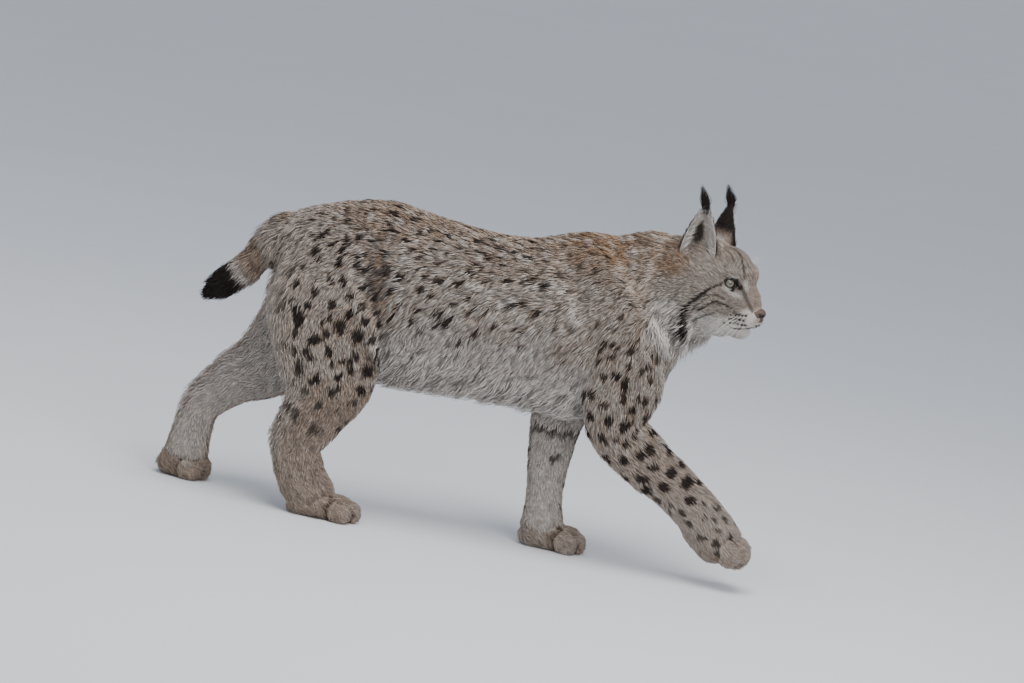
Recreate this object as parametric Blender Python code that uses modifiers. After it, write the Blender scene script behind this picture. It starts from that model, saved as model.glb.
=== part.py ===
"""A walking Eurasian lynx as a still, life-size model, in metres, +X towards the head and +Z up.

The flesh masses are lofts along the limbs and the spine, blended by a voxel remesh into one body, which
thin cuts then part into head, neck, torso, tail and legs. The long coat is built as tapered locks.
"""

import math
import random

import bmesh
import bpy
import numpy as np
from mathutils import Matrix, Vector
from mathutils.bvhtree import BVHTree

# Gap that touching meshes keep. A solid that cuts its neighbour swells by a little more, for its edges.
GAP = 0.0003
CLEARANCE = 0.00045
# The paws stand with flats cut at this level.
FLOOR = 0.0
# Crumbs that a cut leaves, in cubic metres, aren't kept as parts.
SMALLEST_PART = 2e-6

# Triangles that each blended form is brought down to.
BODY_TRIANGLES = 3600
HEAD_TRIANGLES = 2200
BODY_VOXEL = 0.006
HEAD_VOXEL = 0.0032

# Head frame: the middle of the skull and the turn of the face towards the animal's right.
HEAD_AT = Vector((0.430, 0.0, 0.600))
HEAD_YAW = math.radians(-24.0)

# Spine stations: x, top, bottom, half width of the torso.
TORSO = (
    (-0.425, 0.590, 0.470, 0.056),
    (-0.380, 0.616, 0.392, 0.090),
    (-0.300, 0.645, 0.330, 0.110),
    (-0.215, 0.655, 0.308, 0.115),
    (-0.130, 0.643, 0.300, 0.111),
    (-0.040, 0.632, 0.302, 0.115),
    (0.060, 0.633, 0.306, 0.122),
    (0.140, 0.656, 0.304, 0.124),
    (0.210, 0.668, 0.302, 0.118),
    (0.270, 0.664, 0.312, 0.104),
    (0.325, 0.640, 0.345, 0.080),
)
# Limb, neck and tail stations: x, y, z of the middle, half depth in the limb's plane, half width across.
NECK = (
    (0.200, 0.000, 0.545, 0.110, 0.092),
    (0.270, 0.000, 0.563, 0.110, 0.086),
    (0.335, -0.004, 0.584, 0.110, 0.084),
    (0.400, -0.012, 0.598, 0.096, 0.078),
)
BREAST = (
    (0.285, 0.000, 0.500, 0.080, 0.075),
    (0.305, 0.000, 0.430, 0.068, 0.066),
    (0.300, 0.000, 0.370, 0.060, 0.052),
)
TAIL = (
    (-0.372, 0.000, 0.562, 0.036, 0.034),
    (-0.418, 0.000, 0.552, 0.046, 0.038),
    (-0.450, 0.000, 0.521, 0.042, 0.036),
    (-0.482, 0.000, 0.482, 0.033, 0.032),
    (-0.517, 0.000, 0.446, 0.031, 0.030),
    (-0.540, 0.000, 0.424, 0.028, 0.028),
    (-0.552, 0.000, 0.413, 0.022, 0.022),
)
FORE_RIGHT = (
    (0.190, -0.066, 0.600, 0.060, 0.040),
    (0.250, -0.084, 0.500, 0.082, 0.046),
    (0.296, -0.088, 0.400, 0.084, 0.050),
    (0.300, -0.084, 0.300, 0.066, 0.050),
    (0.365, -0.078, 0.236, 0.057, 0.043),
    (0.430, -0.074, 0.196, 0.050, 0.038),
    (0.487, -0.071, 0.153, 0.048, 0.040),
    (0.522, -0.070, 0.120, 0.050, 0.042),
    (0.546, -0.069, 0.098, 0.048, 0.043),
)
FORE_LEFT = (
    (0.190, 0.066, 0.600, 0.060, 0.040),
    (0.230, 0.084, 0.500, 0.080, 0.046),
    (0.240, 0.082, 0.400, 0.078, 0.050),
    (0.188, 0.064, 0.290, 0.060, 0.047),
    (0.179, 0.052, 0.200, 0.046, 0.040),
    (0.183, 0.042, 0.110, 0.037, 0.035),
    (0.189, 0.037, 0.052, 0.042, 0.039),
)
HIND_RIGHT = (
    (-0.320, -0.062, 0.540, 0.085, 0.046),
    (-0.316, -0.078, 0.440, 0.118, 0.052),
    (-0.300, -0.088, 0.350, 0.106, 0.054),
    (-0.288, -0.092, 0.275, 0.090, 0.048),
    (-0.306, -0.090, 0.205, 0.064, 0.040),
    (-0.330, -0.087, 0.143, 0.053, 0.034),
    (-0.316, -0.085, 0.085, 0.050, 0.036),
    (-0.288, -0.085, 0.045, 0.048, 0.038),
)
HIND_LEFT = (
    (-0.320, 0.062, 0.540, 0.085, 0.046),
    (-0.330, 0.078, 0.440, 0.112, 0.052),
    (-0.362, 0.088, 0.350, 0.098, 0.054),
    (-0.420, 0.092, 0.268, 0.076, 0.047),
    (-0.487, 0.089, 0.216, 0.052, 0.039),
    (-0.540, 0.087, 0.158, 0.039, 0.034),
    (-0.556, 0.085, 0.105, 0.040, 0.035),
    (-0.561, 0.085, 0.055, 0.044, 0.038),
)

# Paws: heel, toe tips, how far the heel is raised, and the height.
PAWS = (
    ((0.150, 0.036, -0.003), (0.294, 0.031, -0.003), 0.000, 0.058),
    ((-0.332, -0.085, -0.003), (-0.170, -0.086, -0.003), 0.000, 0.056),
    ((-0.608, 0.085, -0.003), (-0.498, 0.086, -0.003), 0.004, 0.058),
    ((0.500, -0.071, 0.074), (0.612, -0.066, 0.040), 0.004, 0.068),
)
PAW_HALF_WIDTH = 0.045
# The pad's stations: the part of the paw's length, of its height, half height and half width there.
PAD = ((0.16, 0.46, 0.46, 0.72), (0.42, 0.50, 0.52, 0.92), (0.68, 0.46, 0.47, 0.98))
TOES = 4
TOE_RADIUS = 0.0205
TOE_LENGTH = 0.030
# A toe's half width to its radius; how far the outer toes stand back; how far apart roots and tips stand.
TOE_NARROWING = 0.75
OUTER_TOE_BACK = 0.012
TOE_ROOTS_APART = 0.55
TOE_TIPS_APART = 0.74

# Head masses in the head frame: middle, then half sizes along, across and up. A y that isn't 0 is mirrored.
HEAD_MASSES = {
    "cranium": ((-0.008, 0.000, 0.034), (0.084, 0.070, 0.062)),
    "forehead": ((0.032, 0.000, 0.042), (0.063, 0.044, 0.047)),
    "occiput": ((-0.060, 0.000, 0.005), (0.060, 0.066, 0.075)),
    "cheek": ((-0.004, 0.043, -0.024), (0.058, 0.040, 0.058)),
    "ruff": ((-0.022, 0.050, -0.064), (0.042, 0.033, 0.054)),
    "cheek_low": ((0.016, 0.030, -0.048), (0.060, 0.040, 0.050)),
    "stop": ((0.066, 0.000, 0.036), (0.040, 0.034, 0.034)),
    "brow": ((0.058, 0.031, 0.040), (0.026, 0.020, 0.014)),
    "cheekbone": ((0.038, 0.038, -0.018), (0.042, 0.028, 0.034)),
    "jaw": ((0.040, 0.000, -0.060), (0.058, 0.045, 0.036)),
    "chin": ((0.086, 0.000, -0.074), (0.025, 0.021, 0.019)),
    "whisker_pad": ((0.102, 0.018, -0.047), (0.026, 0.020, 0.020)),
}
# Bridge of the nose and muzzle: x, middle height, half height, half width.
MUZZLE = (
    (0.045, -0.006, 0.060, 0.056),
    (0.070, -0.012, 0.055, 0.043),
    (0.087, -0.018, 0.041, 0.032),
    (0.100, -0.028, 0.032, 0.024),
    (0.112, -0.038, 0.023, 0.019),
)
EYE_AT = Vector((0.0585, 0.0335, 0.0190))
EYE_RADIUS = 0.0135
LID_THICKNESS = 0.0034
EYE_TURN = math.radians(24.0)
NOSE_AT = Vector((0.1240, 0.0, -0.0315))
NOSE_HALF = Vector((0.0140, 0.0150, 0.0115))
NOSTRIL_AT = Vector((0.1340, 0.0075, -0.0350))
NOSTRIL_HALF = Vector((0.0060, 0.0028, 0.0036))

# Ear: foot and tip of its middle line, largest half width, wall, and where its cup opens, from straight ahead.
# Its arc runs this far to each side of the back, at the foot and at the tip, and is a little flattened.
EAR_FOOT = Vector((-0.012, 0.059, 0.030))
EAR_TIP = Vector((-0.006, 0.066, 0.165))
EAR_HALF_WIDTH = 0.0335
EAR_WALL = 0.0045
EAR_OPENS = math.radians(64.0)
EAR_ARC_FOOT, EAR_ARC_TIP = math.radians(105.0), math.radians(55.0)
EAR_DEPTH = 0.80
EAR_ROWS, EAR_COLUMNS = 8, 7
TUFT_TIP = Vector((-0.024, 0.070, 0.206))

# Edges sharper than this keep a hard shade.
SHARP_ANGLE = math.radians(40.0)

# Each node's colour and roughness; nodes that aren't named here take the coat's.
COAT_FINISH = ((0.46, 0.38, 0.31), 0.85)
FINISHES = {
    "head": ((0.42, 0.36, 0.30), 0.85),
    "neck": ((0.47, 0.38, 0.29), 0.85),
    "ear_left": ((0.36, 0.31, 0.26), 0.85),
    "ear_right": ((0.36, 0.31, 0.26), 0.85),
    "tail_tip": ((0.015, 0.014, 0.014), 0.90),
    "nose": ((0.30, 0.17, 0.14), 0.45),
    "eye_left": ((0.42, 0.40, 0.22), 0.10),
    "eye_right": ((0.42, 0.40, 0.22), 0.10),
}

# Cuts across the limbs: middle, direction of the limb there, and half size along the cut and across it.
CUTS = {
    "neck_base": ((0.308, 0.0, 0.563), (0.880, 0.0, 0.475), 0.200, 0.15),
    "head": ((0.355, 0.0, 0.580), (0.996, 0.0, -0.090), 0.160, 0.15),
    "tail_root": ((-0.462, 0.0, 0.523), (-0.918, 0.0, -0.397), 0.061, 0.046),
    "tail_tip": ((-0.5185, 0.0, 0.434), (-0.745, 0.0, -0.667), 0.060, 0.07),
    "wrist_left": ((0.188, 0.037, 0.062), (0.0, 0.0, 1.0), 0.070, 0.07),
    "wrist_right": ((0.500, -0.071, 0.148), (0.800, 0.0, -0.600), 0.070, 0.07),
    "knee_right": ((-0.306, -0.090, 0.200), (-0.100, 0.0, 0.995), 0.100, 0.07),
    "ankle_right": ((-0.295, -0.085, 0.054), (-0.200, 0.0, 0.980), 0.075, 0.07),
    "knee_left": ((-0.462, 0.090, 0.234), (-0.790, 0.0, -0.613), 0.090, 0.07),
    "ankle_left": ((-0.563, 0.085, 0.062), (0.0, 0.0, 1.0), 0.070, 0.07),
}
# The line, x and z, along which the legs part from the trunk, and the side of the body that it serves.
LEG_LINES = (
    ((-0.210, 0.210), ((-0.520, 0.440), (-0.400, 0.366), (-0.300, 0.316), (-0.200, 0.272), (-0.130, 0.259),
                       (0.080, 0.259))),
    ((0.003, 0.210), ((0.085, 0.259), (0.270, 0.259))),
    ((-0.210, -0.003), ((0.085, 0.259), (0.200, 0.259), (0.252, 0.200), (0.420, 0.320))),
)
# A point in each body node.
BODY_NODES = {
    "torso": (0.0, 0.0, 0.46),
    "neck": (0.325, 0.0, 0.575),
    "neck_front": (0.420, 0.0, 0.600),
    "tail": (-0.485, 0.0, 0.482),
    "tail_tip": (-0.548, 0.0, 0.418),
    "foreleg_left": (0.182, 0.045, 0.160),
    "forepaw_left": (0.220, 0.034, 0.028),
    "foreleg_right": (0.420, -0.075, 0.200),
    "forepaw_right": (0.556, -0.068, 0.090),
    "thigh_right": (-0.300, -0.088, 0.270),
    "shank_right": (-0.325, -0.087, 0.120),
    "hindpaw_right": (-0.255, -0.085, 0.026),
    "thigh_left": (-0.390, 0.088, 0.300),
    "shank_left": (-0.530, 0.087, 0.150),
    "hindpaw_left": (-0.560, 0.085, 0.030),
}
DROPPED = ("neck_front",)

# The gap between the lids: half length, half height, and its slant up to the outer corner.
LID_HALF_LENGTH = 0.0158
LID_HALF_HEIGHT = 0.0106
LID_SLANT = math.radians(24.0)

# The line of the mouth on one side, in the head frame, and the groove that shows it.
MOUTH = (
    (0.1290, 0.0, -0.0560),
    (0.1240, 0.0130, -0.0590),
    (0.1080, 0.0280, -0.0690),
    (0.0880, 0.0380, -0.0690),
    (0.0660, 0.0460, -0.0610),
)
MOUTH_GAP = 0.0018
MOUTH_DEPTH = 0.0140
MOUTH_REACH = 0.0300
MOUTH_CENTRE = Vector((0.060, 0.0, -0.062))

# Locks: how deep the roots sink, how far they lift from the surface at first, how much they cling to it, their
# thickness to width, and how far they bend back to it.
LOCK_SINK = 0.006
LOCK_LIFT = 0.30
LOCK_CLING = 0.60
LOCK_FLATNESS = 0.24
LOCK_SAG = 0.06
LOCK_SEED = 7
# Along each lock: the part of its length, and of its full width there. It ends in a point.
LOCK_TAPER = ((0.00, 0.80), (0.36, 1.00), (0.74, 0.60))
# Rows of locks on each node: how many, three points that the row runs through, the lie of the hair,
# the length and the half width. Rows of the head are in the head frame.
RUFF_ROWS = (
    (4, ((-0.042, 0.074, 0.026), (-0.040, 0.083, -0.024), (-0.034, 0.080, -0.066)),
     (-0.55, 0.28, -0.80), 0.056, 0.0135),
    (5, ((-0.010, 0.082, -0.002), (-0.004, 0.082, -0.044), (0.004, 0.070, -0.080)),
     (-0.42, 0.20, -0.90), 0.056, 0.0125),
    (4, ((-0.046, 0.062, -0.090), (-0.018, 0.062, -0.104), (0.014, 0.056, -0.092)),
     (-0.20, 0.10, -0.96), 0.046, 0.0125),
    (3, ((0.030, 0.048, -0.070), (0.044, 0.034, -0.090), (0.050, 0.014, -0.096)),
     (-0.55, 0.08, -0.80), 0.030, 0.0110),
    (3, ((-0.034, 0.026, -0.100), (-0.012, 0.024, -0.104), (0.014, 0.022, -0.098)),
     (-0.30, 0.02, -0.95), 0.040, 0.0120),
)
BELLY_ROWS = (
    (7, ((-0.158, 0.030, 0.300), (0.020, 0.030, 0.300), (0.196, 0.030, 0.302)),
     (-0.55, 0.02, -0.83), 0.048, 0.0200),
    (6, ((-0.145, 0.066, 0.312), (0.030, 0.068, 0.314), (0.200, 0.066, 0.314)),
     (-0.48, 0.06, -0.87), 0.060, 0.0215),
    (6, ((-0.150, 0.096, 0.345), (0.020, 0.102, 0.348), (0.175, 0.104, 0.346)),
     (-0.52, 0.12, -0.84), 0.070, 0.0215),
)
CHEST_ROWS = (
    (4, ((0.372, 0.018, 0.462), (0.366, 0.030, 0.420), (0.360, 0.040, 0.370)),
     (-0.10, 0.10, -0.98), 0.052, 0.0180),
)
BREECH_ROWS = (
    (4, ((-0.440, 0.058, 0.480), (-0.446, 0.070, 0.435), (-0.440, 0.080, 0.395)),
     (-0.22, 0.10, -0.96), 0.054, 0.0170),
)
THIGH_RIGHT_ROWS = (
    (3, ((-0.412, -0.090, 0.345), (-0.398, -0.092, 0.300), (-0.385, -0.092, 0.250)),
     (-0.18, -0.02, -0.98), 0.050, 0.0170),
)
THIGH_LEFT_ROWS = (
    (3, ((-0.452, 0.090, 0.345), (-0.476, 0.090, 0.318), (-0.490, 0.090, 0.296)),
     (-0.50, 0.02, -0.86), 0.044, 0.0160),
)
# Both tail nodes: the sides of the tail that carry a row, as turns round it.
TAIL_TURNS = tuple(math.radians(a) for a in (15, 90, 165, 225, 270, 315))
TAIL_LIE = (-0.73, 0.0, -0.68)
TAIL_ROW = (2, (-0.470, 0.0, 0.496), (-0.496, 0.0, 0.467), 0.034, 0.0130)
TAIL_TIP_ROW = (2, (-0.526, 0.0, 0.437), (-0.550, 0.0, 0.414), 0.034, 0.0120)
TUFT_LOCKS = 6
TUFT_HALF_WIDTH = 0.0030


def clear_scene():
    for thing in list(bpy.data.objects):
        bpy.data.objects.remove(thing, do_unlink=True)


def collection(name, hidden=False):
    made = bpy.data.collections.new(name)
    bpy.context.scene.collection.children.link(made)
    made.hide_render = hidden
    return made


def material(name, colour, roughness=0.85):
    made = bpy.data.materials.new(name)
    made.use_nodes = True
    shader = made.node_tree.nodes["Principled BSDF"]
    shader.inputs["Base Color"].default_value = (*colour, 1.0)
    shader.inputs["Roughness"].default_value = roughness
    return made


def add_object(name, mesh, where):
    made = bpy.data.objects.new(name, mesh)
    where.objects.link(made)
    return made


def mesh_of(name, points, faces):
    made = bpy.data.meshes.new(name)
    made.from_pydata([tuple(p) for p in points], [], faces)
    made.update()
    return made


def mesh_from_bmesh(name, shape):
    made = bpy.data.meshes.new(name)
    shape.to_mesh(made)
    shape.free()
    return made


def spline_rows(rows, per_span=4):
    """Rows of numbers with the points of a Catmull-Rom curve set between them."""
    rows = np.array(rows, float)
    padded = np.vstack([2 * rows[0] - rows[1], rows, 2 * rows[-1] - rows[-2]])
    out = []
    for i in range(len(rows) - 1):
        a, b, c, d = padded[i : i + 4]
        for step in range(per_span):
            t = step / per_span
            out.append(
                0.5 * (2 * b + (c - a) * t + (2 * a - 5 * b + 4 * c - d) * t * t
                       + (3 * b - a - 3 * c + d) * t ** 3)
            )
    out.append(rows[-1])
    return np.array(out)


def ring(middle, along, half_depth, half_width, sides):
    """An ellipse round middle, across the direction along; its width runs as near to Y as it can."""
    across = Vector((0, 1, 0))
    across = (across - along * across.dot(along)).normalized()
    deep = across.cross(along)
    return [
        middle + deep * half_depth * math.cos(turn) + across * half_width * math.sin(turn)
        for turn in (math.tau * i / sides for i in range(sides))
    ]


def dome_ring(section, sign, step, steps):
    """One ring of the dome that closes a tube: it shrinks as it moves out past the end section."""
    middle, along, half_depth, half_width = section
    angle = 0.5 * math.pi * step / (steps + 1)
    out = sign * min(half_depth, half_width) * math.sin(angle)
    return (middle + along * out, along, half_depth * math.cos(angle), half_width * math.cos(angle))


def loft(name, stations, sides=20, per_span=4, cap_rings=3, upright=False):
    """A closed tube of elliptic sections through the stations, with domed ends. Upright ones stand across X."""
    rows = spline_rows(stations, per_span)
    middles = [Vector(r[:3]) for r in rows]
    rings = []
    for i, row in enumerate(rows):
        ahead = middles[min(i + 1, len(rows) - 1)]
        behind = middles[max(i - 1, 0)]
        along = Vector((1, 0, 0)) if upright else (ahead - behind).normalized()
        rings.append((middles[i], along, row[3], row[4]))
    first, last = rings[0], rings[-1]
    start = [dome_ring(first, -1, k, cap_rings) for k in range(cap_rings, 0, -1)]
    end = [dome_ring(last, 1, k, cap_rings) for k in range(1, cap_rings + 1)]
    rings = start + rings + end
    points = [p for r in rings for p in ring(*r, sides)]
    poles = [first[0] - first[1] * min(first[2:]), last[0] + last[1] * min(last[2:])]
    faces = []
    for i in range(len(rings) - 1):
        for j in range(sides):
            k = (j + 1) % sides
            faces.append((i * sides + j, i * sides + k, (i + 1) * sides + k, (i + 1) * sides + j))
    low, high = len(points), len(points) + 1
    top = (len(rings) - 1) * sides
    for j in range(sides):
        k = (j + 1) % sides
        faces.append((low, k, j))
        faces.append((high, top + j, top + k))
    return mesh_of(name, points + poles, faces)


def ellipsoid(name, middle, half, segments=20, rings=12):
    shape = bmesh.new()
    bmesh.ops.create_uvsphere(shape, u_segments=segments, v_segments=rings, radius=1.0)
    bmesh.ops.scale(shape, vec=half, verts=shape.verts)
    bmesh.ops.translate(shape, vec=middle, verts=shape.verts)
    return mesh_from_bmesh(name, shape)


def mirrored(point, side):
    return Vector((point[0], point[1] * side, point[2]))


def head_matrix():
    return Matrix.Translation(HEAD_AT) @ Matrix.Rotation(HEAD_YAW, 4, "Z")


def torso_stations():
    return [(x, 0.0, (top + low) / 2, (top - low) / 2, half) for x, top, low, half in TORSO]


def paw_meshes(heel, toe, raise_heel, height):
    """A pad with its toes, which runs from heel to toe along the ground line of the paw."""
    heel, toe = Vector(heel), Vector(toe)
    heading = (toe - heel).normalized()
    across = Vector((0, 0, 1)).cross(heading).normalized()
    lift = heading.cross(across).normalized()
    length = (toe - heel).length
    stations = []
    for along, up, half_height, half_width in PAD:
        middle = heel + heading * length * along + lift * (height * up + raise_heel * (along == PAD[0][0]))
        stations.append((*middle, height * half_height, PAW_HALF_WIDTH * half_width))
    shapes = [loft("pad", stations, sides=16)]
    for i in range(TOES):
        side = (i - (TOES - 1) / 2) / ((TOES - 1) / 2)
        reach = length - TOE_RADIUS - abs(side) * OUTER_TOE_BACK
        out = across * side * PAW_HALF_WIDTH
        root = heel + heading * (reach - TOE_LENGTH) + out * TOE_ROOTS_APART + lift * height * 0.5
        tip = heel + heading * reach + out * TOE_TIPS_APART + lift * TOE_RADIUS
        half_width = TOE_RADIUS * TOE_NARROWING
        shapes.append(loft("toe", [(*root, TOE_RADIUS, half_width), (*tip, TOE_RADIUS, half_width)], 12, 3))
    return shapes


def flesh_meshes():
    """Every mass of the body but the finer ones of the head."""
    shapes = [
        loft("torso", torso_stations(), sides=28, upright=True),
        loft("neck", NECK),
        loft("breast", BREAST),
        loft("tail", TAIL),
        loft("fore_right", FORE_RIGHT),
        loft("fore_left", FORE_LEFT),
        loft("hind_right", HIND_RIGHT),
        loft("hind_left", HIND_LEFT),
    ]
    for paw in PAWS:
        shapes += paw_meshes(*paw)
    return shapes


def head_meshes():
    """The masses of the head, each in the head frame, then set in its place."""
    shapes = []
    for name, (middle, half) in HEAD_MASSES.items():
        sides = (1, -1) if middle[1] else (1,)
        for side in sides:
            at = Vector((middle[0], middle[1] * side, middle[2]))
            shapes.append(ellipsoid(name, at, Vector(half)))
    shapes.append(loft("muzzle", [(x, 0.0, z, high, wide) for x, z, high, wide in MUZZLE]))
    for side in (1, -1):
        lid = EYE_RADIUS + LID_THICKNESS
        shapes.append(ellipsoid("lid", mirrored(EYE_AT, side), Vector((lid, lid, lid))))
    for shape in shapes:
        shape.transform(head_matrix())
    shapes.append(loft("neck", NECK))
    return shapes


def joined(name, meshes, where):
    shape = bmesh.new()
    for mesh in meshes:
        shape.from_mesh(mesh)
        bpy.data.meshes.remove(mesh)
    bmesh.ops.recalc_face_normals(shape, faces=shape.faces)
    return add_object(name, mesh_from_bmesh(name, shape), where)


def applied(thing):
    """Puts the object's evaluated shape in place of its mesh and modifiers."""
    bpy.context.view_layer.update()
    graph = bpy.context.evaluated_depsgraph_get()
    mesh = bpy.data.meshes.new_from_object(thing.evaluated_get(graph))
    thing.modifiers.clear()
    thing.data = mesh
    return thing


def blended(thing, voxel, smoothing, triangles):
    """One closed skin over overlapping masses, smoothed where they meet and brought to a triangle count."""
    remesh = thing.modifiers.new("Blend", "REMESH")
    remesh.mode = "VOXEL"
    remesh.voxel_size = voxel
    smooth = thing.modifiers.new("Soften", "SMOOTH")
    smooth.factor = 0.5
    smooth.iterations = smoothing
    applied(thing)
    thin = thing.modifiers.new("Thin", "DECIMATE")
    thin.ratio = min(1.0, triangles / (2 * len(thing.data.polygons)))
    applied(thing)
    return thing


def cutter(name, mesh, where):
    made = add_object(name, mesh, where)
    made.hide_render = True
    made.display_type = "WIRE"
    return made


def slab(name, middle, normal, half_long, half_wide, where):
    """A cutter as thin as the gap, square to the normal."""
    shape = bmesh.new()
    bmesh.ops.create_cube(shape, size=1.0)
    bmesh.ops.scale(shape, vec=(2 * half_long, 2 * half_wide, GAP), verts=shape.verts)
    up = Vector(normal).normalized()
    across = Vector((0, 1, 0))
    along = across.cross(up)
    turn = Matrix((along, across, up)).transposed().to_4x4()
    bmesh.ops.transform(shape, matrix=Matrix.Translation(Vector(middle)) @ turn, verts=shape.verts)
    return cutter(name, mesh_from_bmesh(name, shape), where)


def leg_sheet(name, sides, line, where):
    """A cutter as thin as the gap that follows a line in x and z, from one y to the other."""
    points = []
    for x, z in line:
        points += [(x, y, z + dz) for y in sides for dz in (-GAP / 2, GAP / 2)]
    faces = []
    for i in range(len(line) - 1):
        a, b = 4 * i, 4 * (i + 1)
        faces += [(a, a + 1, b + 1, b), (a + 1, a + 3, b + 3, b + 1), (a + 3, a + 2, b + 2, b + 3),
                  (a + 2, a, b, b + 2)]
    end = 4 * (len(line) - 1)
    faces += [(0, 2, 3, 1), (end, end + 1, end + 3, end + 2)]
    shape = bmesh.new()
    shape.from_mesh(mesh_of(name, points, faces))
    bmesh.ops.recalc_face_normals(shape, faces=shape.faces)
    return cutter(name, mesh_from_bmesh(name, shape), where)


def is_closed(mesh):
    """Whether each edge of the mesh has two faces."""
    shape = bmesh.new()
    shape.from_mesh(mesh)
    closed = bool(shape.faces) and all(len(edge.link_faces) == 2 for edge in shape.edges)
    shape.free()
    return closed


def boolean(thing, operation, collection_of=None, other=None, solvers=("EXACT", "MANIFOLD")):
    """Applies one Boolean, by the first solver that leaves a closed surface."""
    before = thing.data.copy()
    for solver in solvers:
        thing.data = before.copy()
        step = thing.modifiers.new(operation.title(), "BOOLEAN")
        step.operation = operation
        step.solver = solver
        if collection_of:
            step.operand_type = "COLLECTION"
            step.collection = collection_of
        else:
            step.object = other
        applied(thing)
        if is_closed(thing.data):
            break
    return thing


def cut_away(thing, cutters, solvers=("EXACT", "MANIFOLD")):
    """Cuts with each object of the collection in turn, and removes it."""
    for tool in list(cutters.objects):
        boolean(thing, "DIFFERENCE", other=tool, solvers=solvers)
        bpy.data.objects.remove(tool)


def loose_parts(mesh):
    """The closed surfaces of a mesh, each as a bmesh, largest first."""
    shape = bmesh.new()
    shape.from_mesh(mesh)
    shape.verts.ensure_lookup_table()
    seen, parts = set(), []
    for vertex in shape.verts:
        if vertex.index in seen or not vertex.link_faces:
            continue
        stack, members = [vertex], []
        seen.add(vertex.index)
        while stack:
            at = stack.pop()
            members.append(at)
            for edge in at.link_edges:
                other = edge.other_vert(at)
                if other.index not in seen:
                    seen.add(other.index)
                    stack.append(other)
        keep = {v.index for v in members}
        part = shape.copy()
        part.verts.ensure_lookup_table()
        bmesh.ops.delete(part, geom=[v for v in part.verts if v.index not in keep], context="VERTS")
        parts.append(part)
    shape.free()
    return sorted(parts, key=lambda p: -p.calc_volume())


def keep_largest(thing):
    parts = loose_parts(thing.data)
    thing.data = mesh_from_bmesh(thing.name, parts[0])
    for part in parts[1:]:
        part.free()
    return thing


def cut_at_floor(thing):
    """Gives the standing paws their flats."""
    shape = bmesh.new()
    shape.from_mesh(thing.data)
    cut = bmesh.ops.bisect_plane(
        shape, geom=shape.verts[:] + shape.edges[:] + shape.faces[:],
        plane_co=(0, 0, FLOOR), plane_no=(0, 0, 1), clear_inner=True,
    )
    rim = [e for e in cut["geom_cut"] if isinstance(e, bmesh.types.BMEdge)]
    bmesh.ops.holes_fill(shape, edges=rim)
    bmesh.ops.triangulate(shape, faces=shape.faces)
    thing.data = mesh_from_bmesh(thing.name, shape)


def named_parts(whole, where):
    """Parts the cut body into its nodes, each the piece nearest to its named point."""
    parts = [p for p in loose_parts(whole.data) if p.calc_volume() > SMALLEST_PART]
    middles = [sum((v.co for v in p.verts), Vector()) / len(p.verts) for p in parts]
    nodes = {}
    for name, point in BODY_NODES.items():
        best = min(range(len(parts)), key=lambda i: (middles[i] - Vector(point)).length)
        if name not in DROPPED:
            nodes[name] = add_object(name, mesh_from_bmesh(name, parts[best].copy()), where)
    bpy.data.objects.remove(whole)
    return nodes


def bisected(thing, middle, normal):
    """Keeps the side of the plane that the normal points to, and closes it."""
    shape = bmesh.new()
    shape.from_mesh(thing.data)
    cut = bmesh.ops.bisect_plane(
        shape, geom=shape.verts[:] + shape.edges[:] + shape.faces[:],
        plane_co=middle, plane_no=normal, clear_inner=True,
    )
    rim = [e for e in cut["geom_cut"] if isinstance(e, bmesh.types.BMEdge)]
    bmesh.ops.holes_fill(shape, edges=rim)
    bmesh.ops.triangulate(shape, faces=shape.faces)
    thing.data = mesh_from_bmesh(thing.name, shape)
    return thing


def ball(name, middle, half, where, grow=0.0, segments=16, rings=9):
    """An ellipsoid in the head frame, set in its place."""
    mesh = ellipsoid(name, middle, Vector(half) + Vector((grow,) * 3), segments, rings)
    mesh.transform(head_matrix())
    return add_object(name, mesh, where)


def eye_axis(side):
    return Vector((math.cos(EYE_TURN), math.sin(EYE_TURN) * side, 0.02)).normalized()


def lid_opening(side, where):
    """A lens-shaped plug that opens the lids in front of the eyeball."""
    axis = eye_axis(side)
    outward = Vector((0, 0, 1)).cross(axis) * side
    outward = outward.normalized()
    up = axis.cross(outward) * side
    long_way = (outward * math.cos(LID_SLANT) + up * math.sin(LID_SLANT)).normalized()
    high_way = (up * math.cos(LID_SLANT) - outward * math.sin(LID_SLANT)).normalized()
    eye = mirrored(EYE_AT, side)
    steps = 10
    outline = []
    for i in range(2 * steps):
        turn = math.pi * i / steps
        u = math.cos(turn)
        outline.append((u * LID_HALF_LENGTH, math.sin(turn) * LID_HALF_HEIGHT * (1 - 0.25 * u * u)))
    points = []
    for reach, spread in ((0.1 * EYE_RADIUS, 0.85), (EYE_RADIUS + LID_THICKNESS, 1.0), (0.045, 1.5)):
        points += [eye + axis * reach + (long_way * u + high_way * v) * spread for u, v in outline]
    n = len(outline)
    faces = [tuple(range(n)), tuple(range(3 * n - 1, 2 * n - 1, -1))]
    for level in (0, 1):
        for i in range(n):
            j = (i + 1) % n
            faces.append((level * n + i, level * n + j, (level + 1) * n + j, (level + 1) * n + i))
    shape = bmesh.new()
    shape.from_mesh(mesh_of("lid_opening", points, faces))
    bmesh.ops.recalc_face_normals(shape, faces=shape.faces)
    bmesh.ops.triangulate(shape, faces=shape.faces)
    mesh = mesh_from_bmesh("lid_opening", shape)
    mesh.transform(head_matrix())
    return cutter("lid_opening", mesh, where)


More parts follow.
